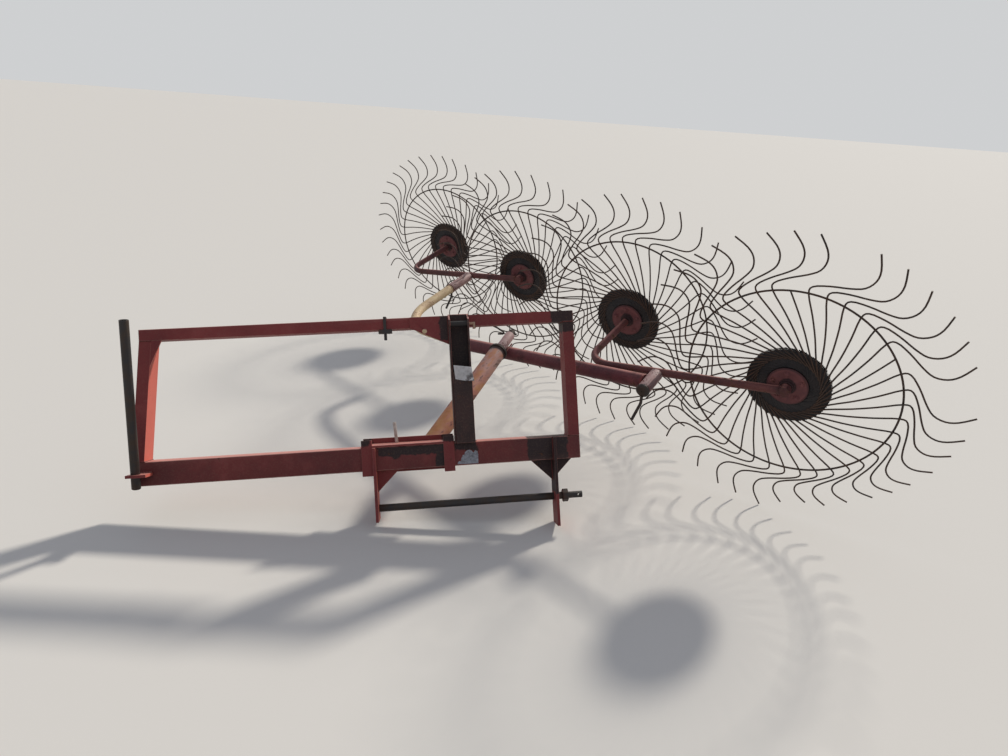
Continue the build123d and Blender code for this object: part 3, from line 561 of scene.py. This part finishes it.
for step in range(TUBE_SIDES):
    angle = 2 * math.pi * step / TUBE_SIDES
    out = tube_side * math.cos(angle) + tube_rise * math.sin(angle)
    edge = tube_end + out * TUBE_RADIUS
    foot = edge - tube_way * ((edge - saddle_back).dot(HEAD_Y) / tube_way.dot(HEAD_Y))
    spots = (foot, foot.lerp(edge, 0.5), edge - tube_way * TUBE_LIP, edge - out * TUBE_LIP)
    rings.append([shape.verts.new(spot) for spot in spots])
for step in range(TUBE_SIDES):
    first, second = rings[step], rings[(step + 1) % TUBE_SIDES]
    for index in range(3):
        shape.faces.new((first[index], second[index], second[index + 1], first[index + 1]))
shape.faces.new([ring[0] for ring in rings])
shape.faces.new([ring[3] for ring in rings])
foot_line = [ring[0].co.copy() for ring in rings[::3]]
smooth(place_piece(shape, "main_tube_shell", tube_paint, "headstock", IN_PLACE, "main_tube"))
shape = bmesh.new()
add_bead(shape, foot_line, TUBE_WELD, closed=True)
smooth(place_piece(shape, "main_tube_weld", weld_red, "headstock", IN_PLACE), WELD_SHARP)

# Pivot spindle of the main tube
# A turned shaft with a thick collar, welded into the tube's end. The boom's pivot
# sleeve turns on it, and a pin through its far end keeps the sleeve on.
SPINDLE_DARK = (0.035, 0.028, 0.027, 1)
SPINDLE_STAIN = (0.060, 0.038, 0.030, 1)
TURNED_SHARP = 35
# The collar and then the shaft, as radius and depth.
SPINDLE_PROFILE = (
    (0.004, 0.0), (0.047, 0.0), (0.049, 0.002), (0.049, 0.014), (0.047, 0.016), (0.019, 0.016),
    (0.019, 0.1985), (0.0165, 0.2010), (0.004, 0.2010),
)


def add_lathe(shape, profile, sides, matrix):
    """Turns a closed profile of radius and depth round the y axis of a matrix."""
    rings = []
    for step in range(sides):
        angle = 2 * math.pi * step / sides
        ring = []
        for radius, depth in profile:
            spot = Vector((radius * math.sin(angle), depth, radius * math.cos(angle)))
            ring.append(shape.verts.new(matrix @ spot))
        rings.append(ring)
    for step in range(sides):
        first, second = rings[step], rings[(step + 1) % sides]
        for index in range(len(profile)):
            following = (index + 1) % len(profile)
            shape.faces.new((first[index], second[index], second[following], first[following]))


# The spindle and its collar are near black all over.
spindle_steel = stained_steel("near_black_spindle_steel", SPINDLE_DARK, SPINDLE_STAIN, metal=0.4)
spindle_seat = Matrix.Translation(tube_end) @ tube_way.to_track_quat("Y", "Z").to_matrix().to_4x4()
shape = bmesh.new()
add_lathe(shape, SPINDLE_PROFILE, sides=48, matrix=spindle_seat)
spindle = place_piece(shape, "collared_spindle", spindle_steel, "headstock", IN_PLACE,
                      "tube_spindle")
smooth(spindle, TURNED_SHARP)

# Boom and its sleeves
# A thick tube along the wheels, with a thinner pipe let into its far end and bent back
# into a leg. Sleeves for the two crank pins and for the spindle are welded on. The
# tube is dull red, the pipe sunburnt to straw and the sleeves bleached to pink.
axle = Vector(joints["wheel_1_spin"]["axis"]).normalized()
row = hubs[0] - hubs[3]
face = (row - axle * row.dot(axle)).normalized()
wheel_turn = Matrix((face, axle, face.cross(axle))).transposed().to_4x4()
gang = Matrix.Translation(hubs[0]) @ wheel_turn
ROW_STEP, AXLE_STEP = 0.966, 0.436
FRONT_SLEEVE = (-0.578, -0.216)
REAR_SLEEVE = (-2.336, 0.593)
BOOM_RADIUS = 0.035
BOOM_START = (-0.606, -0.1487)
BOOM_KNEE = (-1.790, -0.0535)
PIPE_RADIUS = 0.0275
PIPE_START = (-1.760, -0.0559)
PIPE_CORNER = (-2.336, 0.077)
PIPE_BEND = 0.330
BAR_ROUND = 0.0025
SLEEVES = ("boom_pivot_sleeve", "front_crank_sleeve", "rear_crank_sleeve")
BOOM_RED = (0.185, 0.049, 0.058, 1)
BOOM_DEEP = (0.105, 0.034, 0.045, 1)
BOOM_CHALK = (0.32, 0.12, 0.115, 1)
SLEEVE_DULL = (0.40, 0.22, 0.205, 1)
SLEEVE_PINK = (0.58, 0.42, 0.39, 1)
SLEEVE_BAND = (0.095, 0.045, 0.052, 1)
SLEEVE_RUST = (0.16, 0.055, 0.050, 1)
PIPE_STRAW = (0.78, 0.62, 0.36, 1)
PIPE_TAN = (0.62, 0.38, 0.24, 1)
OLD_BUMP = 0.0012


def flat_point(x, y, z=0.0):
    """A point of the gang: along the wheel faces, along the axles, and off their plane."""
    return Vector((x, y, z))


def bent_line(points, bend, steps=12):
    """A line through the points with each corner turned in an arc."""
    line = [points[0]]
    for before, corner, after in zip(points, points[1:], points[2:]):
        back = (before - corner).normalized()
        on = (after - corner).normalized()
        half = back.angle(on) / 2
        centre = corner + (back + on).normalized() * (bend / math.sin(half))
        start = corner + back * (bend / math.tan(half)) - centre
        around = back.cross(on).normalized()
        for step in range(steps + 1):
            angle = (2 * half - math.pi) * step / steps
            line.append(centre + Matrix.Rotation(angle, 3, around) @ start)
    line.append(points[-1])
    return line


def add_bar(shape, line, radius, sides=40):
    """A round bar with slightly rounded ends."""
    first = (line[1] - line[0]).normalized() * BAR_ROUND
    last = (line[-1] - line[-2]).normalized() * BAR_ROUND
    whole = [line[0], line[0] + first] + line[1:-1] + [line[-1] - last, line[-1]]
    sizes = [radius - BAR_ROUND] + [radius] * (len(whole) - 2) + [radius - BAR_ROUND]
    add_wire(shape, whole, sizes, sides)


# Its upward faces get a narrow painted highlight along the top, laid in with the sun bleaching.
boom_red = old_paint("boom_red_paint", BOOM_RED, BOOM_DEEP, BOOM_CHALK, rust=0.55,
                     dark=0.22)
sleeve_pink, shader, place = finish_for("bleached_sleeve_paint")
clouds = place.grain(14.0, 7.0, 0.65)
speck = place.grain(120.0, 4.0)
pink = clouds.between(0.36, 0.66).blend(SLEEVE_DULL, SLEEVE_PINK)
bands = place.drawn_out((face, 42.0), (axle, 3.0), (face.cross(axle), 42.0)).grain(1.0, 4.0, 0.55)
pink = pink.tint(SLEEVE_BAND, bands.between(0.53, 0.57) * 0.9)
pink = pink.tint(SLEEVE_RUST, (clouds * 0.6 + speck * 0.4).between(0.54, 0.59) * 0.9)
feed(shader, place, pink, 0.55 + speck * 0.2, clouds * 0.4 + speck * 0.3, OLD_BUMP)
pipe_tan, shader, place = finish_for("sunburnt_pipe_paint")
clouds = place.grain(11.0, 7.0, 0.65)
speck = place.grain(130.0, 4.0)
tan = clouds.between(0.40, 0.72).blend(PIPE_STRAW, PIPE_TAN)
tan = tan.tint(RUST, (clouds * 0.6 + speck * 0.4).between(0.56, 0.62) * 0.85)
feed(shader, place, tan, 0.55 + speck * 0.2, clouds * 0.4 + speck * 0.3, OLD_BUMP)
shape = bmesh.new()
add_bar(shape, [flat_point(*BOOM_START), flat_point(*BOOM_KNEE)], BOOM_RADIUS)
smooth(place_piece(shape, "straight_boom_tube", boom_red, "boom", gang, "boom"))
pipe_end = flat_point(REAR_SLEEVE[0], REAR_SLEEVE[1] + 0.002)
pipe_line = [flat_point(*PIPE_START), flat_point(*PIPE_CORNER), pipe_end]
shape = bmesh.new()
add_wire(shape, bent_line(pipe_line, PIPE_BEND, steps=20), PIPE_RADIUS, sides=40)
smooth(place_piece(shape, "bent_rear_pipe", pipe_tan, "boom", gang))
dress(sleeve_pink, *SLEEVES)
soften(PLATE_ROUND, *SLEEVES)


def ring_line(centre, way, radius, steps=28):
    """Points of a circle round an axis."""
    side = way.orthogonal().normalized() * radius
    return [centre + Matrix.Rotation(2 * math.pi * step / steps, 3, way) @ side
            for step in range(steps)]


ALONG_AXLE = Vector((0, 1, 0))
boom_way = (flat_point(*BOOM_KNEE) - flat_point(*BOOM_START)).normalized()
gang_back = gang.inverted()
pivot_spot = gang_back @ pivot
pivot_way = (gang_back.to_3x3() @ tube_way).normalized()
across = (boom_way - pivot_way * boom_way.dot(pivot_way)).normalized()
FRONT_JOINT = (FRONT_SLEEVE[0] - 0.0285, -0.1505)
BEAD_ASIDE, BEAD_BELOW, BEAD_REACH, BEAD_RADIUS = 0.024, 0.0255, 0.034, 0.0042
shape = bmesh.new()
for spot, way, radius, bead in (
    (BOOM_KNEE, boom_way, PIPE_RADIUS + 0.001, 0.0045),
    (REAR_SLEEVE, ALONG_AXLE, PIPE_RADIUS + 0.0008, 0.0035),
    (FRONT_JOINT, boom_way, BOOM_RADIUS - 0.003, 0.0050),
):
    add_bead(shape, ring_line(flat_point(*spot), way, radius), bead, closed=True)
for side in (-1, 1):
    edge = pivot_spot + across * (side * BEAD_ASIDE) + flat_point(0, 0, -BEAD_BELOW)
    half = pivot_way * BEAD_REACH
    add_bead(shape, [edge - half, edge, edge + half], BEAD_RADIUS)
smooth(place_piece(shape, "boom_welds", weld_red, "boom", gang), WELD_SHARP)

# Handle of the lynch pin
# The pin that keeps the sleeve on the spindle has a handle of bent wire at its end, a
# hook that points at the mast. Black and rusty.
HANDLE_LINE = ((-0.066, 0.004, 0.036), (0.004, -0.004, -0.006), (-0.044, 0.000, -0.008))
HANDLE_BEND = 0.007
HANDLE_RADIUS = 0.0048
lynch_pin = frame["nodes"]["lynch_pin"]
pin_spots = [lynch_pin.matrix_world @ vertex.co for vertex in lynch_pin.data.vertices]
pin_end = min(pin_spots, key=lambda spot: spot.x + spot.y)
handle_line = [pin_end + Vector(spot) for spot in HANDLE_LINE]
shape = bmesh.new()
add_bar(shape, bent_line(handle_line, HANDLE_BEND, steps=8), HANDLE_RADIUS, sides=16)
smooth(place_piece(shape, "lynch_pin_handle", black_steel, "headstock", IN_PLACE))

# Cranks
# Each is a round bar across two wheel places, bent back into a leg. Turned spindles
# carry the two hubs, an eye is welded over the bar's end, and a pin turns in the
# boom's sleeve. Washers and split pins hold the wheels on.
CRANK_AHEAD = 0.052
BAR_RADIUS = 0.019
CRANK_BEND = 0.130
EYE_RADIUS, EYE_FRONT, EYE_BACK = 0.025, 0.019, 0.021
PIN_RADIUS = 0.017
SPINDLE_RADIUS, SPINDLE_END = 0.0125, 0.055
WASHER_RADIUS, WASHER_START, WASHER_END = 0.021, 0.031, 0.036
LEG_SHORT, SPINDLE_ROOT = 0.031, 0.051
PIN_BEAD_AT, PIN_BEAD = 0.0175, 0.0030
EYE_BEAD_AT, EYE_BEAD_RADIUS, EYE_BEAD = 0.024, 0.0195, 0.0032
SPLIT_AT = 0.044
SPLIT_HEAD, SPLIT_EYE, SPLIT_TAIL, SPLIT_SPREAD = -0.021, 0.005, 0.015, 0.004
SPLIT_LEG_WIRE, SPLIT_EYE_WIRE = 0.0022, 0.0020
EYE_POINTS, EYE_TURN = 9, 0.7
CRANK_BROWN = (0.18, 0.058, 0.054, 1)
CRANK_DEEP = (0.090, 0.034, 0.038, 1)
CRANK_CHALK = (0.32, 0.15, 0.115, 1)
GREASED_STEEL = (0.12, 0.10, 0.09, 1)
GREASE_STAIN = (0.06, 0.042, 0.034, 1)
crank_red = old_paint("crank_brown_paint", CRANK_BROWN, CRANK_DEEP, CRANK_CHALK, rust=0.8,
                      dark=0.18)
pin_steel = stained_steel("greased_pin_steel", GREASED_STEEL, GREASE_STAIN, metal=0.5)
for name, x, y, pin_x, pin_start in (
    ("front", 0.0, 0.0, FRONT_SLEEVE[0], FRONT_SLEEVE[1] - 0.015),
    ("rear", -2 * ROW_STEP, 2 * AXLE_STEP, REAR_SLEEVE[0], REAR_SLEEVE[1] + 0.012),
):
    bar_y = y - CRANK_AHEAD
    leg_x = x - ROW_STEP
    leg_y = y + AXLE_STEP
    crank = name + "_crank"
    corners = [flat_point(x, bar_y), flat_point(leg_x, bar_y), flat_point(leg_x, leg_y - LEG_SHORT)]
    pin_ring = ring_line(flat_point(pin_x, bar_y - PIN_BEAD_AT), ALONG_AXLE, PIN_BEAD_AT)
    eye_ring = ring_line(flat_point(x - EYE_BEAD_AT, bar_y), flat_point(1, 0), EYE_BEAD_RADIUS)
    shape = bmesh.new()
    add_bar(shape, bent_line(corners, CRANK_BEND), BAR_RADIUS)
    add_bar(shape, [flat_point(x, bar_y - EYE_FRONT), flat_point(x, bar_y + EYE_BACK)], EYE_RADIUS)
    add_bar(shape, [flat_point(pin_x, pin_start), flat_point(pin_x, bar_y)], PIN_RADIUS, sides=32)
    add_bead(shape, pin_ring, PIN_BEAD, closed=True)
    add_bead(shape, eye_ring, EYE_BEAD, closed=True)
    smooth(place_piece(shape, crank + "_bar", crank_red, crank, gang, crank))
    shape = bmesh.new()
    for hub_x, hub_y, root_y in ((x, y, bar_y), (leg_x, leg_y, leg_y - SPINDLE_ROOT)):
        spindle_line = [flat_point(hub_x, root_y), flat_point(hub_x, hub_y + SPINDLE_END)]
        washer_line = [flat_point(hub_x, hub_y + end) for end in (WASHER_START, WASHER_END)]
        add_bar(shape, spindle_line, SPINDLE_RADIUS, sides=28)
        add_bar(shape, washer_line, WASHER_RADIUS, sides=28)
        split = flat_point(hub_x, hub_y + SPLIT_AT)
        legs = [Vector((SPLIT_HEAD, 0, 0)), Vector((0, 0, 0)), Vector((SPLIT_TAIL, 0, 0)),
                Vector((SPLIT_TAIL + SPLIT_SPREAD, 0, SPLIT_SPREAD))]
        eye_line = []
        for step in range(EYE_POINTS):
            angle = EYE_TURN * step
            eye_line.append(split + Vector((SPLIT_HEAD - SPLIT_EYE * math.sin(angle), 0,
                                            SPLIT_EYE * math.cos(angle) - SPLIT_EYE)))
        add_wire(shape, [split + spot for spot in legs], SPLIT_LEG_WIRE, sides=8)
        add_wire(shape, eye_line, SPLIT_EYE_WIRE, sides=8)
    smooth(place_piece(shape, crank + "_spindles", pin_steel, crank, gang))

# Lock handles of the cranks
# A closed forged cap over the front pin and a loose lever at the rear sleeve, each
# with a bent handle that hangs down. Thin black paint over rust.
LEVER_RADIUS = 0.007
LEVER_KNEE = (0, 0, -0.062)
LEVER_END = (-0.032, 0, -0.145)
LEVER_BEND = 0.040
FRONT_LEVER_AT, FRONT_LEVER_DROP = -0.228, 0.026
REAR_LEVER_AT, REAR_LEVER_DROP = 0.608, 0.029
FORGED_SHARP = 50


def lever_line(root, start_drop):
    """A handle that hangs down and then swings toward the headstock's left end."""
    spots = ((0, 0, -start_drop), LEVER_KNEE, LEVER_END)
    return bent_line([root + Vector(spot) for spot in spots], LEVER_BEND, steps=8)


# The cap's section, as radius and depth.
LOCK_PROFILE = (
    (0.003, -0.2370), (0.018, -0.2368), (0.028, -0.2345), (0.0325, -0.2295), (0.0330, -0.2240),
    (0.0305, -0.2198), (0.0180, -0.2192), (0.0180, -0.2300), (0.003, -0.2300),
)
front_root = gang @ flat_point(FRONT_SLEEVE[0], FRONT_LEVER_AT)
rear_root = gang @ flat_point(REAR_SLEEVE[0], REAR_LEVER_AT)
shape = bmesh.new()
cap_seat = gang @ Matrix.Translation((FRONT_SLEEVE[0], 0, 0))
add_lathe(shape, LOCK_PROFILE, sides=40, matrix=cap_seat)
add_bar(shape, lever_line(front_root, FRONT_LEVER_DROP), LEVER_RADIUS, sides=16)
smooth(place_piece(shape, "front_lock_cap", black_steel, "front_crank", IN_PLACE,
                   "front_crank_lock"), FORGED_SHARP)
shape = bmesh.new()
add_bar(shape, lever_line(rear_root, REAR_LEVER_DROP), LEVER_RADIUS, sides=16)
smooth(place_piece(shape, "rear_lock_lever", black_steel, "boom", IN_PLACE,
                   "rear_crank_lock"), FORGED_SHARP)

# Tined wheels
# Each wheel is forty rusty spring wires that start in a packed swirl round a dished
# and bolted hub, cross a rod rim and bend forward at their ends. Two wires of the
# first wheel have broken and those at its lower right are bent short.
RIM = 0.445
RIM_STEPS = 120
WIRE = 0.0037
RIM_WIRE = 0.0044
ROOT_WIRE = 0.0030
PACK_EDGE = 0.400
PACK_ROOT = 0.205
PACK_SWIRL = 46.0
PACK_STEPS = (0.0, 0.2, 0.4, 0.6, 0.8, 1.0)
LAYER_DEPTH = 0.0058
DISC_EDGE, DISC_THICK = 0.382, 0.008
TINES = 40
PACK_WIRES = 160
PHASES = (1.4, 3.1, -2.0, 0.7)
UNBROKEN = 9.0
BROKEN = {0: 1.045, 7: 1.03}
CURVE_STEPS = 3
# How much shorter bent wires are, and the degrees between which that comes and goes.
BENT_SHORT = 0.30
BENT_RISE = (72, 117)
BENT_FALL = (172, 160)
HUB_BOLTS = 5
BOLT_CIRCLE, BOLT_SEAT = 0.066, -0.0125
BOLT_WASHER, WASHER_THICK = 0.0125, 0.0062
BOLT_HEAD = ((0.0, 0.0085), (0.0105, 0.0085), (0.0120, 0.0072))
DARK_WIRE = (0.034, 0.022, 0.018, 1)
RUSTY_WIRE = (0.075, 0.040, 0.026, 1)
PACK_DARK = (0.013, 0.012, 0.015, 1)
PACK_DUSTY = (0.030, 0.024, 0.025, 1)
HUB_DEEP = (0.175, 0.070, 0.074, 1)
HUB_RED = (0.285, 0.108, 0.106, 1)
HUB_GREASE = (0.034, 0.041)
# Painted shade: a dark ring at the hub's edge, next to the packed roots.
PAINTED_EDGE_SHADE = (0.0795, 0.0850)
HUB_SHARP = 30


def disc_point(ratio, degrees, depth=0.0):
    """A point of a wheel's face, clockwise from its top as seen from the tractor."""
    angle = math.radians(degrees)
    return Vector((RIM * ratio * math.sin(angle), depth, RIM * ratio * math.cos(angle)))


def smooth_line(points, steps):
    """Points along a smooth curve through the given ones."""
    line = []
    count = len(points)
    for index in range(count - 1):
        before = points[max(index - 1, 0)]
        after = points[min(index + 2, count - 1)]
        start, end = points[index], points[index + 1]
        for step in range(steps):
            t = step / steps
            square = 2 * before - 5 * start + 4 * end - after
            cube = 3 * start - before - 3 * end + after
            line.append(0.5 * (2 * start + (end - before) * t + square * t * t + cube * t ** 3))
    line.append(points[-1])
    return line


def ramp(value, start, end):
    """0 up to the start, 1 from the end on, and a straight slope between them."""
    return min(1.0, max(0.0, (value - start) / (end - start)))


wire_finish, shader, place = finish_for("rusty_spring_wire")
clouds = place.grain(9.0, 7.0, 0.65)
speck = place.grain(220.0, 4.0)
rust = clouds.between(0.38, 0.62).blend(DARK_WIRE, RUSTY_WIRE)
shader.inputs["Metallic"].default_value = 0.25
feed(shader, place, rust, 0.5 + speck * 0.25, speck, FINE_BUMP)

pack_finish, shader, place = finish_for("packed_wire_roots")
clouds = place.grain(14.0, 7.0, 0.65)
speck = place.grain(260.0, 4.0)
dark = clouds.between(0.40, 0.62).blend(PACK_DARK, PACK_DUSTY)
shader.inputs["Metallic"].default_value = 0.35
feed(shader, place, dark, 0.38 + speck * 0.25, speck, FINE_BUMP)

# The hub's dull red paint is black with grease at its middle and has a ring of painted shade at its
# edge, where it meets the packed roots.
hub_finish, shader, place = finish_for("hub_red_paint")
shader.inputs["Specular IOR Level"].default_value = PAINT_GLOSS
from_axle = None
for hub in hubs:
    away = place.vector("SUBTRACT", hub).vector("CROSS_PRODUCT", axle)
    away = away.vector("LENGTH", output="Value")
    from_axle = away if from_axle is None else from_axle.least(away)
clouds = place.grain(16.0, 7.0, 0.65)
speck = place.grain(150.0, 4.0)
dull = clouds.between(0.35, 0.66).blend(HUB_DEEP, HUB_RED)
ragged = from_axle + (clouds - 0.5) * 0.016
grease_and_edge_shade = (1 - ragged.between(*HUB_GREASE)).most(ragged.between(*PAINTED_EDGE_SHADE) * 0.7)
dull = dull.tint(BLACK_PAINT, grease_and_edge_shade * 0.85)
dull = dull.tint(RUST, (clouds * 0.6 + speck * 0.4).between(0.56, 0.62) * 0.8)
feed(shader, place, dull, 0.55 + speck * 0.2, clouds * 0.4 + speck * 0.3, OLD_BUMP)

# A tine's line, as shares of the rim's radius with degrees round the axle.
TINE_LINE = (
    (0.30, 60.0), (0.42, 27.0), (0.60, 13.5), (0.80, 5.3), (1.0, 0.0), (1.08, 1.0),
    (1.13, 8.0), (1.185, 16.0), (1.25, 20.5), (1.35, 22.0), (1.45, 21.0), (1.575, 18.0),
)
# The hub's section, as radius and depth.
HUB_PROFILE = (
    (0.0130, -0.0290), (0.0280, -0.0290), (0.0300, -0.0270), (0.0300, -0.0150), (0.0330, -0.0128),
    (0.0460, -0.0118), (0.0640, -0.0145), (0.0780, -0.0172), (0.0850, -0.0170), (0.0890, -0.0140),
    (0.0890, -0.0105), (0.0860, -0.0080), (0.0300, -0.0070), (0.0300, 0.0080), (0.0600, 0.0090),
    (0.0620, 0.0125), (0.0300, 0.0140), (0.0300, 0.0290), (0.0130, 0.0290),
)
for number in range(4):
    seat = Matrix.Translation(hubs[number]) @ wheel_turn
    body = "wheel_%d" % (number + 1)
    shape = bmesh.new()
    for index in range(TINES):
        start = PHASES[number] + index * 360.0 / TINES + chance.uniform(-0.5, 0.5)
        flare = chance.uniform(-0.8, 0.8)
        side = chance.uniform(-0.004, 0.004)
        reach = chance.uniform(-0.008, 0.006)
        cut, bent = UNBROKEN, 0.0
        if number == 0:
            cut = BROKEN.get(index, UNBROKEN)
            bent = ramp(start, *BENT_RISE) * ramp(start, *BENT_FALL)
        points = []
        for ratio, angle in TINE_LINE:
            if ratio > cut:
                break
            outer = max(0.0, ratio - 1.0)
            ratio -= BENT_SHORT * bent * max(0.0, ratio - 1.05)
            points.append(disc_point(ratio * (1 + reach * outer), start + angle + flare * outer * 2,
                                     -(RIM_WIRE + WIRE) + side * outer * 4))
        add_wire(shape, smooth_line(points, CURVE_STEPS), WIRE, sides=8)
    smooth(place_piece(shape, body + "_wires", wire_finish, body, seat, body + "_tines"))
    shape = bmesh.new()
    rim_line = [disc_point(1.0, step * 360.0 / RIM_STEPS) for step in range(RIM_STEPS)]
    add_wire(shape, rim_line, RIM_WIRE, sides=8, closed=True)
    smooth(place_piece(shape, body + "_rod_rim", wire_finish, body, seat, body + "_rim"))

    shape = bmesh.new()
    bmesh.ops.create_cone(shape, cap_ends=True, segments=96, radius1=RIM * DISC_EDGE,
                          radius2=RIM * DISC_EDGE, depth=DISC_THICK, matrix=turn(90, "X"))
    for layer, depth in ((0, -LAYER_DEPTH), (1, LAYER_DEPTH)):
        for index in range(PACK_WIRES):
            start = index * 360.0 / PACK_WIRES + layer
            lift = chance.uniform(-0.0012, 0.0012)
            edge = PACK_EDGE + chance.uniform(-0.006, 0.006)
            points = [disc_point(PACK_ROOT + (edge - PACK_ROOT) * t, start - PACK_SWIRL * t ** 0.8,
                                 depth + lift * (1 - t)) for t in PACK_STEPS]
            add_wire(shape, points, ROOT_WIRE, sides=6)
    smooth(place_piece(shape, body + "_packed_roots", pack_finish, body, seat))

    shape = bmesh.new()
    add_lathe(shape, HUB_PROFILE, sides=72, matrix=IN_PLACE)
    for step in range(HUB_BOLTS):
        angle = 2 * math.pi * step / HUB_BOLTS
        bolt = Vector((BOLT_CIRCLE * math.sin(angle), BOLT_SEAT, BOLT_CIRCLE * math.cos(angle)))
        add_wire(shape, [bolt, bolt + Vector((0, -WASHER_THICK, 0))], BOLT_WASHER, sides=24)
        add_wire(shape, [bolt + Vector((0, -proud, 0)) for proud, size in BOLT_HEAD],
                 [size for proud, size in BOLT_HEAD], sides=6)
    hub = place_piece(shape, body + "_dished_hub", hub_finish, body, seat, body + "_hub")
    smooth(hub, HUB_SHARP)

# Blank tag
# A thin blank aluminium card with a white bloom, tied over the channel above the
# cover plate. Its lower right corner has curled away from the mast.
TAG_CORNERS = ((-0.0329, 0.3829), (0.0435, 0.3717), (0.0518, 0.3051), (-0.0273, 0.3230))
TAG_Y = -0.0935
TAG_THICK = 0.0012
TAG_COLUMNS, TAG_ROWS = 16, 14
TAG_WORN_AT = (0.040, TAG_Y, 0.316)
TAG_WORN_REACH = 0.030
TAG_GLOSS = 0.35
TAG_BUMP = 0.0004
TAG_BLOOM = (0.90, 0.89, 0.91, 1)
TAG_GREY = (0.66, 0.64, 0.65, 1)
TAG_GRIME = (0.16, 0.13, 0.13, 1)
tag_finish, shader, place = finish_for("blank_aluminium_card")
shader.inputs["Metallic"].default_value = 0.5
shader.inputs["Specular IOR Level"].default_value = TAG_GLOSS
smudge = place.grain(60.0, 6.0, 0.6)
from_corner = place.vector("DISTANCE", head @ Vector(TAG_WORN_AT), "Value")
worn = TAG_WORN_REACH - from_corner + (smudge - 0.5) * 0.03
white = smudge.between(0.45, 0.75).blend(TAG_BLOOM, TAG_GREY)
white = white.tint(TAG_GRIME, worn.between(0.0, 0.012) * smudge.between(0.42, 0.52) * 0.8)
feed(shader, place, white, 0.45 + smudge * 0.2, smudge, TAG_BUMP)
(ax, az), (bx, bz), (cx, cz), (dx, dz) = TAG_CORNERS
shape = bmesh.new()
grid = []
for column in range(TAG_COLUMNS + 1):
    grid.append([])
    for row in range(TAG_ROWS + 1):
        # u runs across the card from its left edge and v down from its top edge.
        u, v = column / TAG_COLUMNS, row / TAG_ROWS
        curl = max(0.0, u + v - 1.35) ** 2 * 0.045
        x = (ax * (1 - u) + bx * u) * (1 - v) + (dx * (1 - u) + cx * u) * v
        z = (az * (1 - u) + bz * u) * (1 - v) + (dz * (1 - u) + cz * u) * v
        y = TAG_Y - curl - 0.0009 * math.sin(9 * u + 4 * v)
        grid[column].append(shape.verts.new((x, y, z + curl * 0.3)))
for near, far in zip(grid, grid[1:]):
    for row in range(TAG_ROWS):
        shape.faces.new((near[row], far[row], far[row + 1], near[row + 1]))
bmesh.ops.solidify(shape, geom=shape.faces[:], thickness=TAG_THICK)
smooth(place_piece(shape, "curled_card", tag_finish, "headstock", head, "blank_tag"))

# Paper remains
# What is left of a sheet of paper pasted on the lower beam's front below the mast: a
# thin pale patch with a torn top edge.
PAPER = (
    (-0.035, -0.043), (0.053, -0.045), (0.0545, -0.010), (0.052, 0.008), (0.042, 0.012),
    (0.034, 0.002), (0.026, 0.013), (0.017, 0.016), (0.008, 0.014), (-0.001, 0.008),
    (-0.004, -0.004), (-0.012, -0.006), (-0.019, -0.019), (-0.021, -0.030), (-0.030, -0.031),
    (-0.036, -0.038),
)
PAPER_Y = -0.0504
PAPER_THICK = 0.0006
PAPER_STEPS = 5
CUT_EDGE, TORN_EDGE = 0.0003, 0.0009
PAPER_WHITE = (0.78, 0.80, 0.86, 1)
PAPER_GREY = (0.34, 0.34, 0.38, 1)
paper_finish, shader, place = finish_for("torn_paper")
fibre = place.grain(90.0, 8.0, 0.7)
pale = fibre.between(0.42, 0.66).blend(PAPER_WHITE, PAPER_GREY)
feed(shader, place, pale, 0.8 + fibre * 0.1, fibre, FINE_BUMP)
shape = bmesh.new()
ragged = []
for index, (x, z) in enumerate(PAPER):
    far_x, far_z = PAPER[(index + 1) % len(PAPER)]
    amount = TORN_EDGE if index > 1 else CUT_EDGE
    for step in range(PAPER_STEPS):
        t = step / PAPER_STEPS
        ragged.append((x + (far_x - x) * t + chance.uniform(-amount, amount),
                       z + (far_z - z) * t + chance.uniform(-amount, amount)))
corners = [shape.verts.new((x, 0.0, z)) for x, z in ragged]
sheet = shape.faces.new(corners)
bmesh.ops.solidify(shape, geom=[sheet], thickness=PAPER_THICK)
paper_seat = head @ Matrix.Translation((0, PAPER_Y, 0))
place_piece(shape, "torn_paper_patch", paper_finish, "headstock", paper_seat)
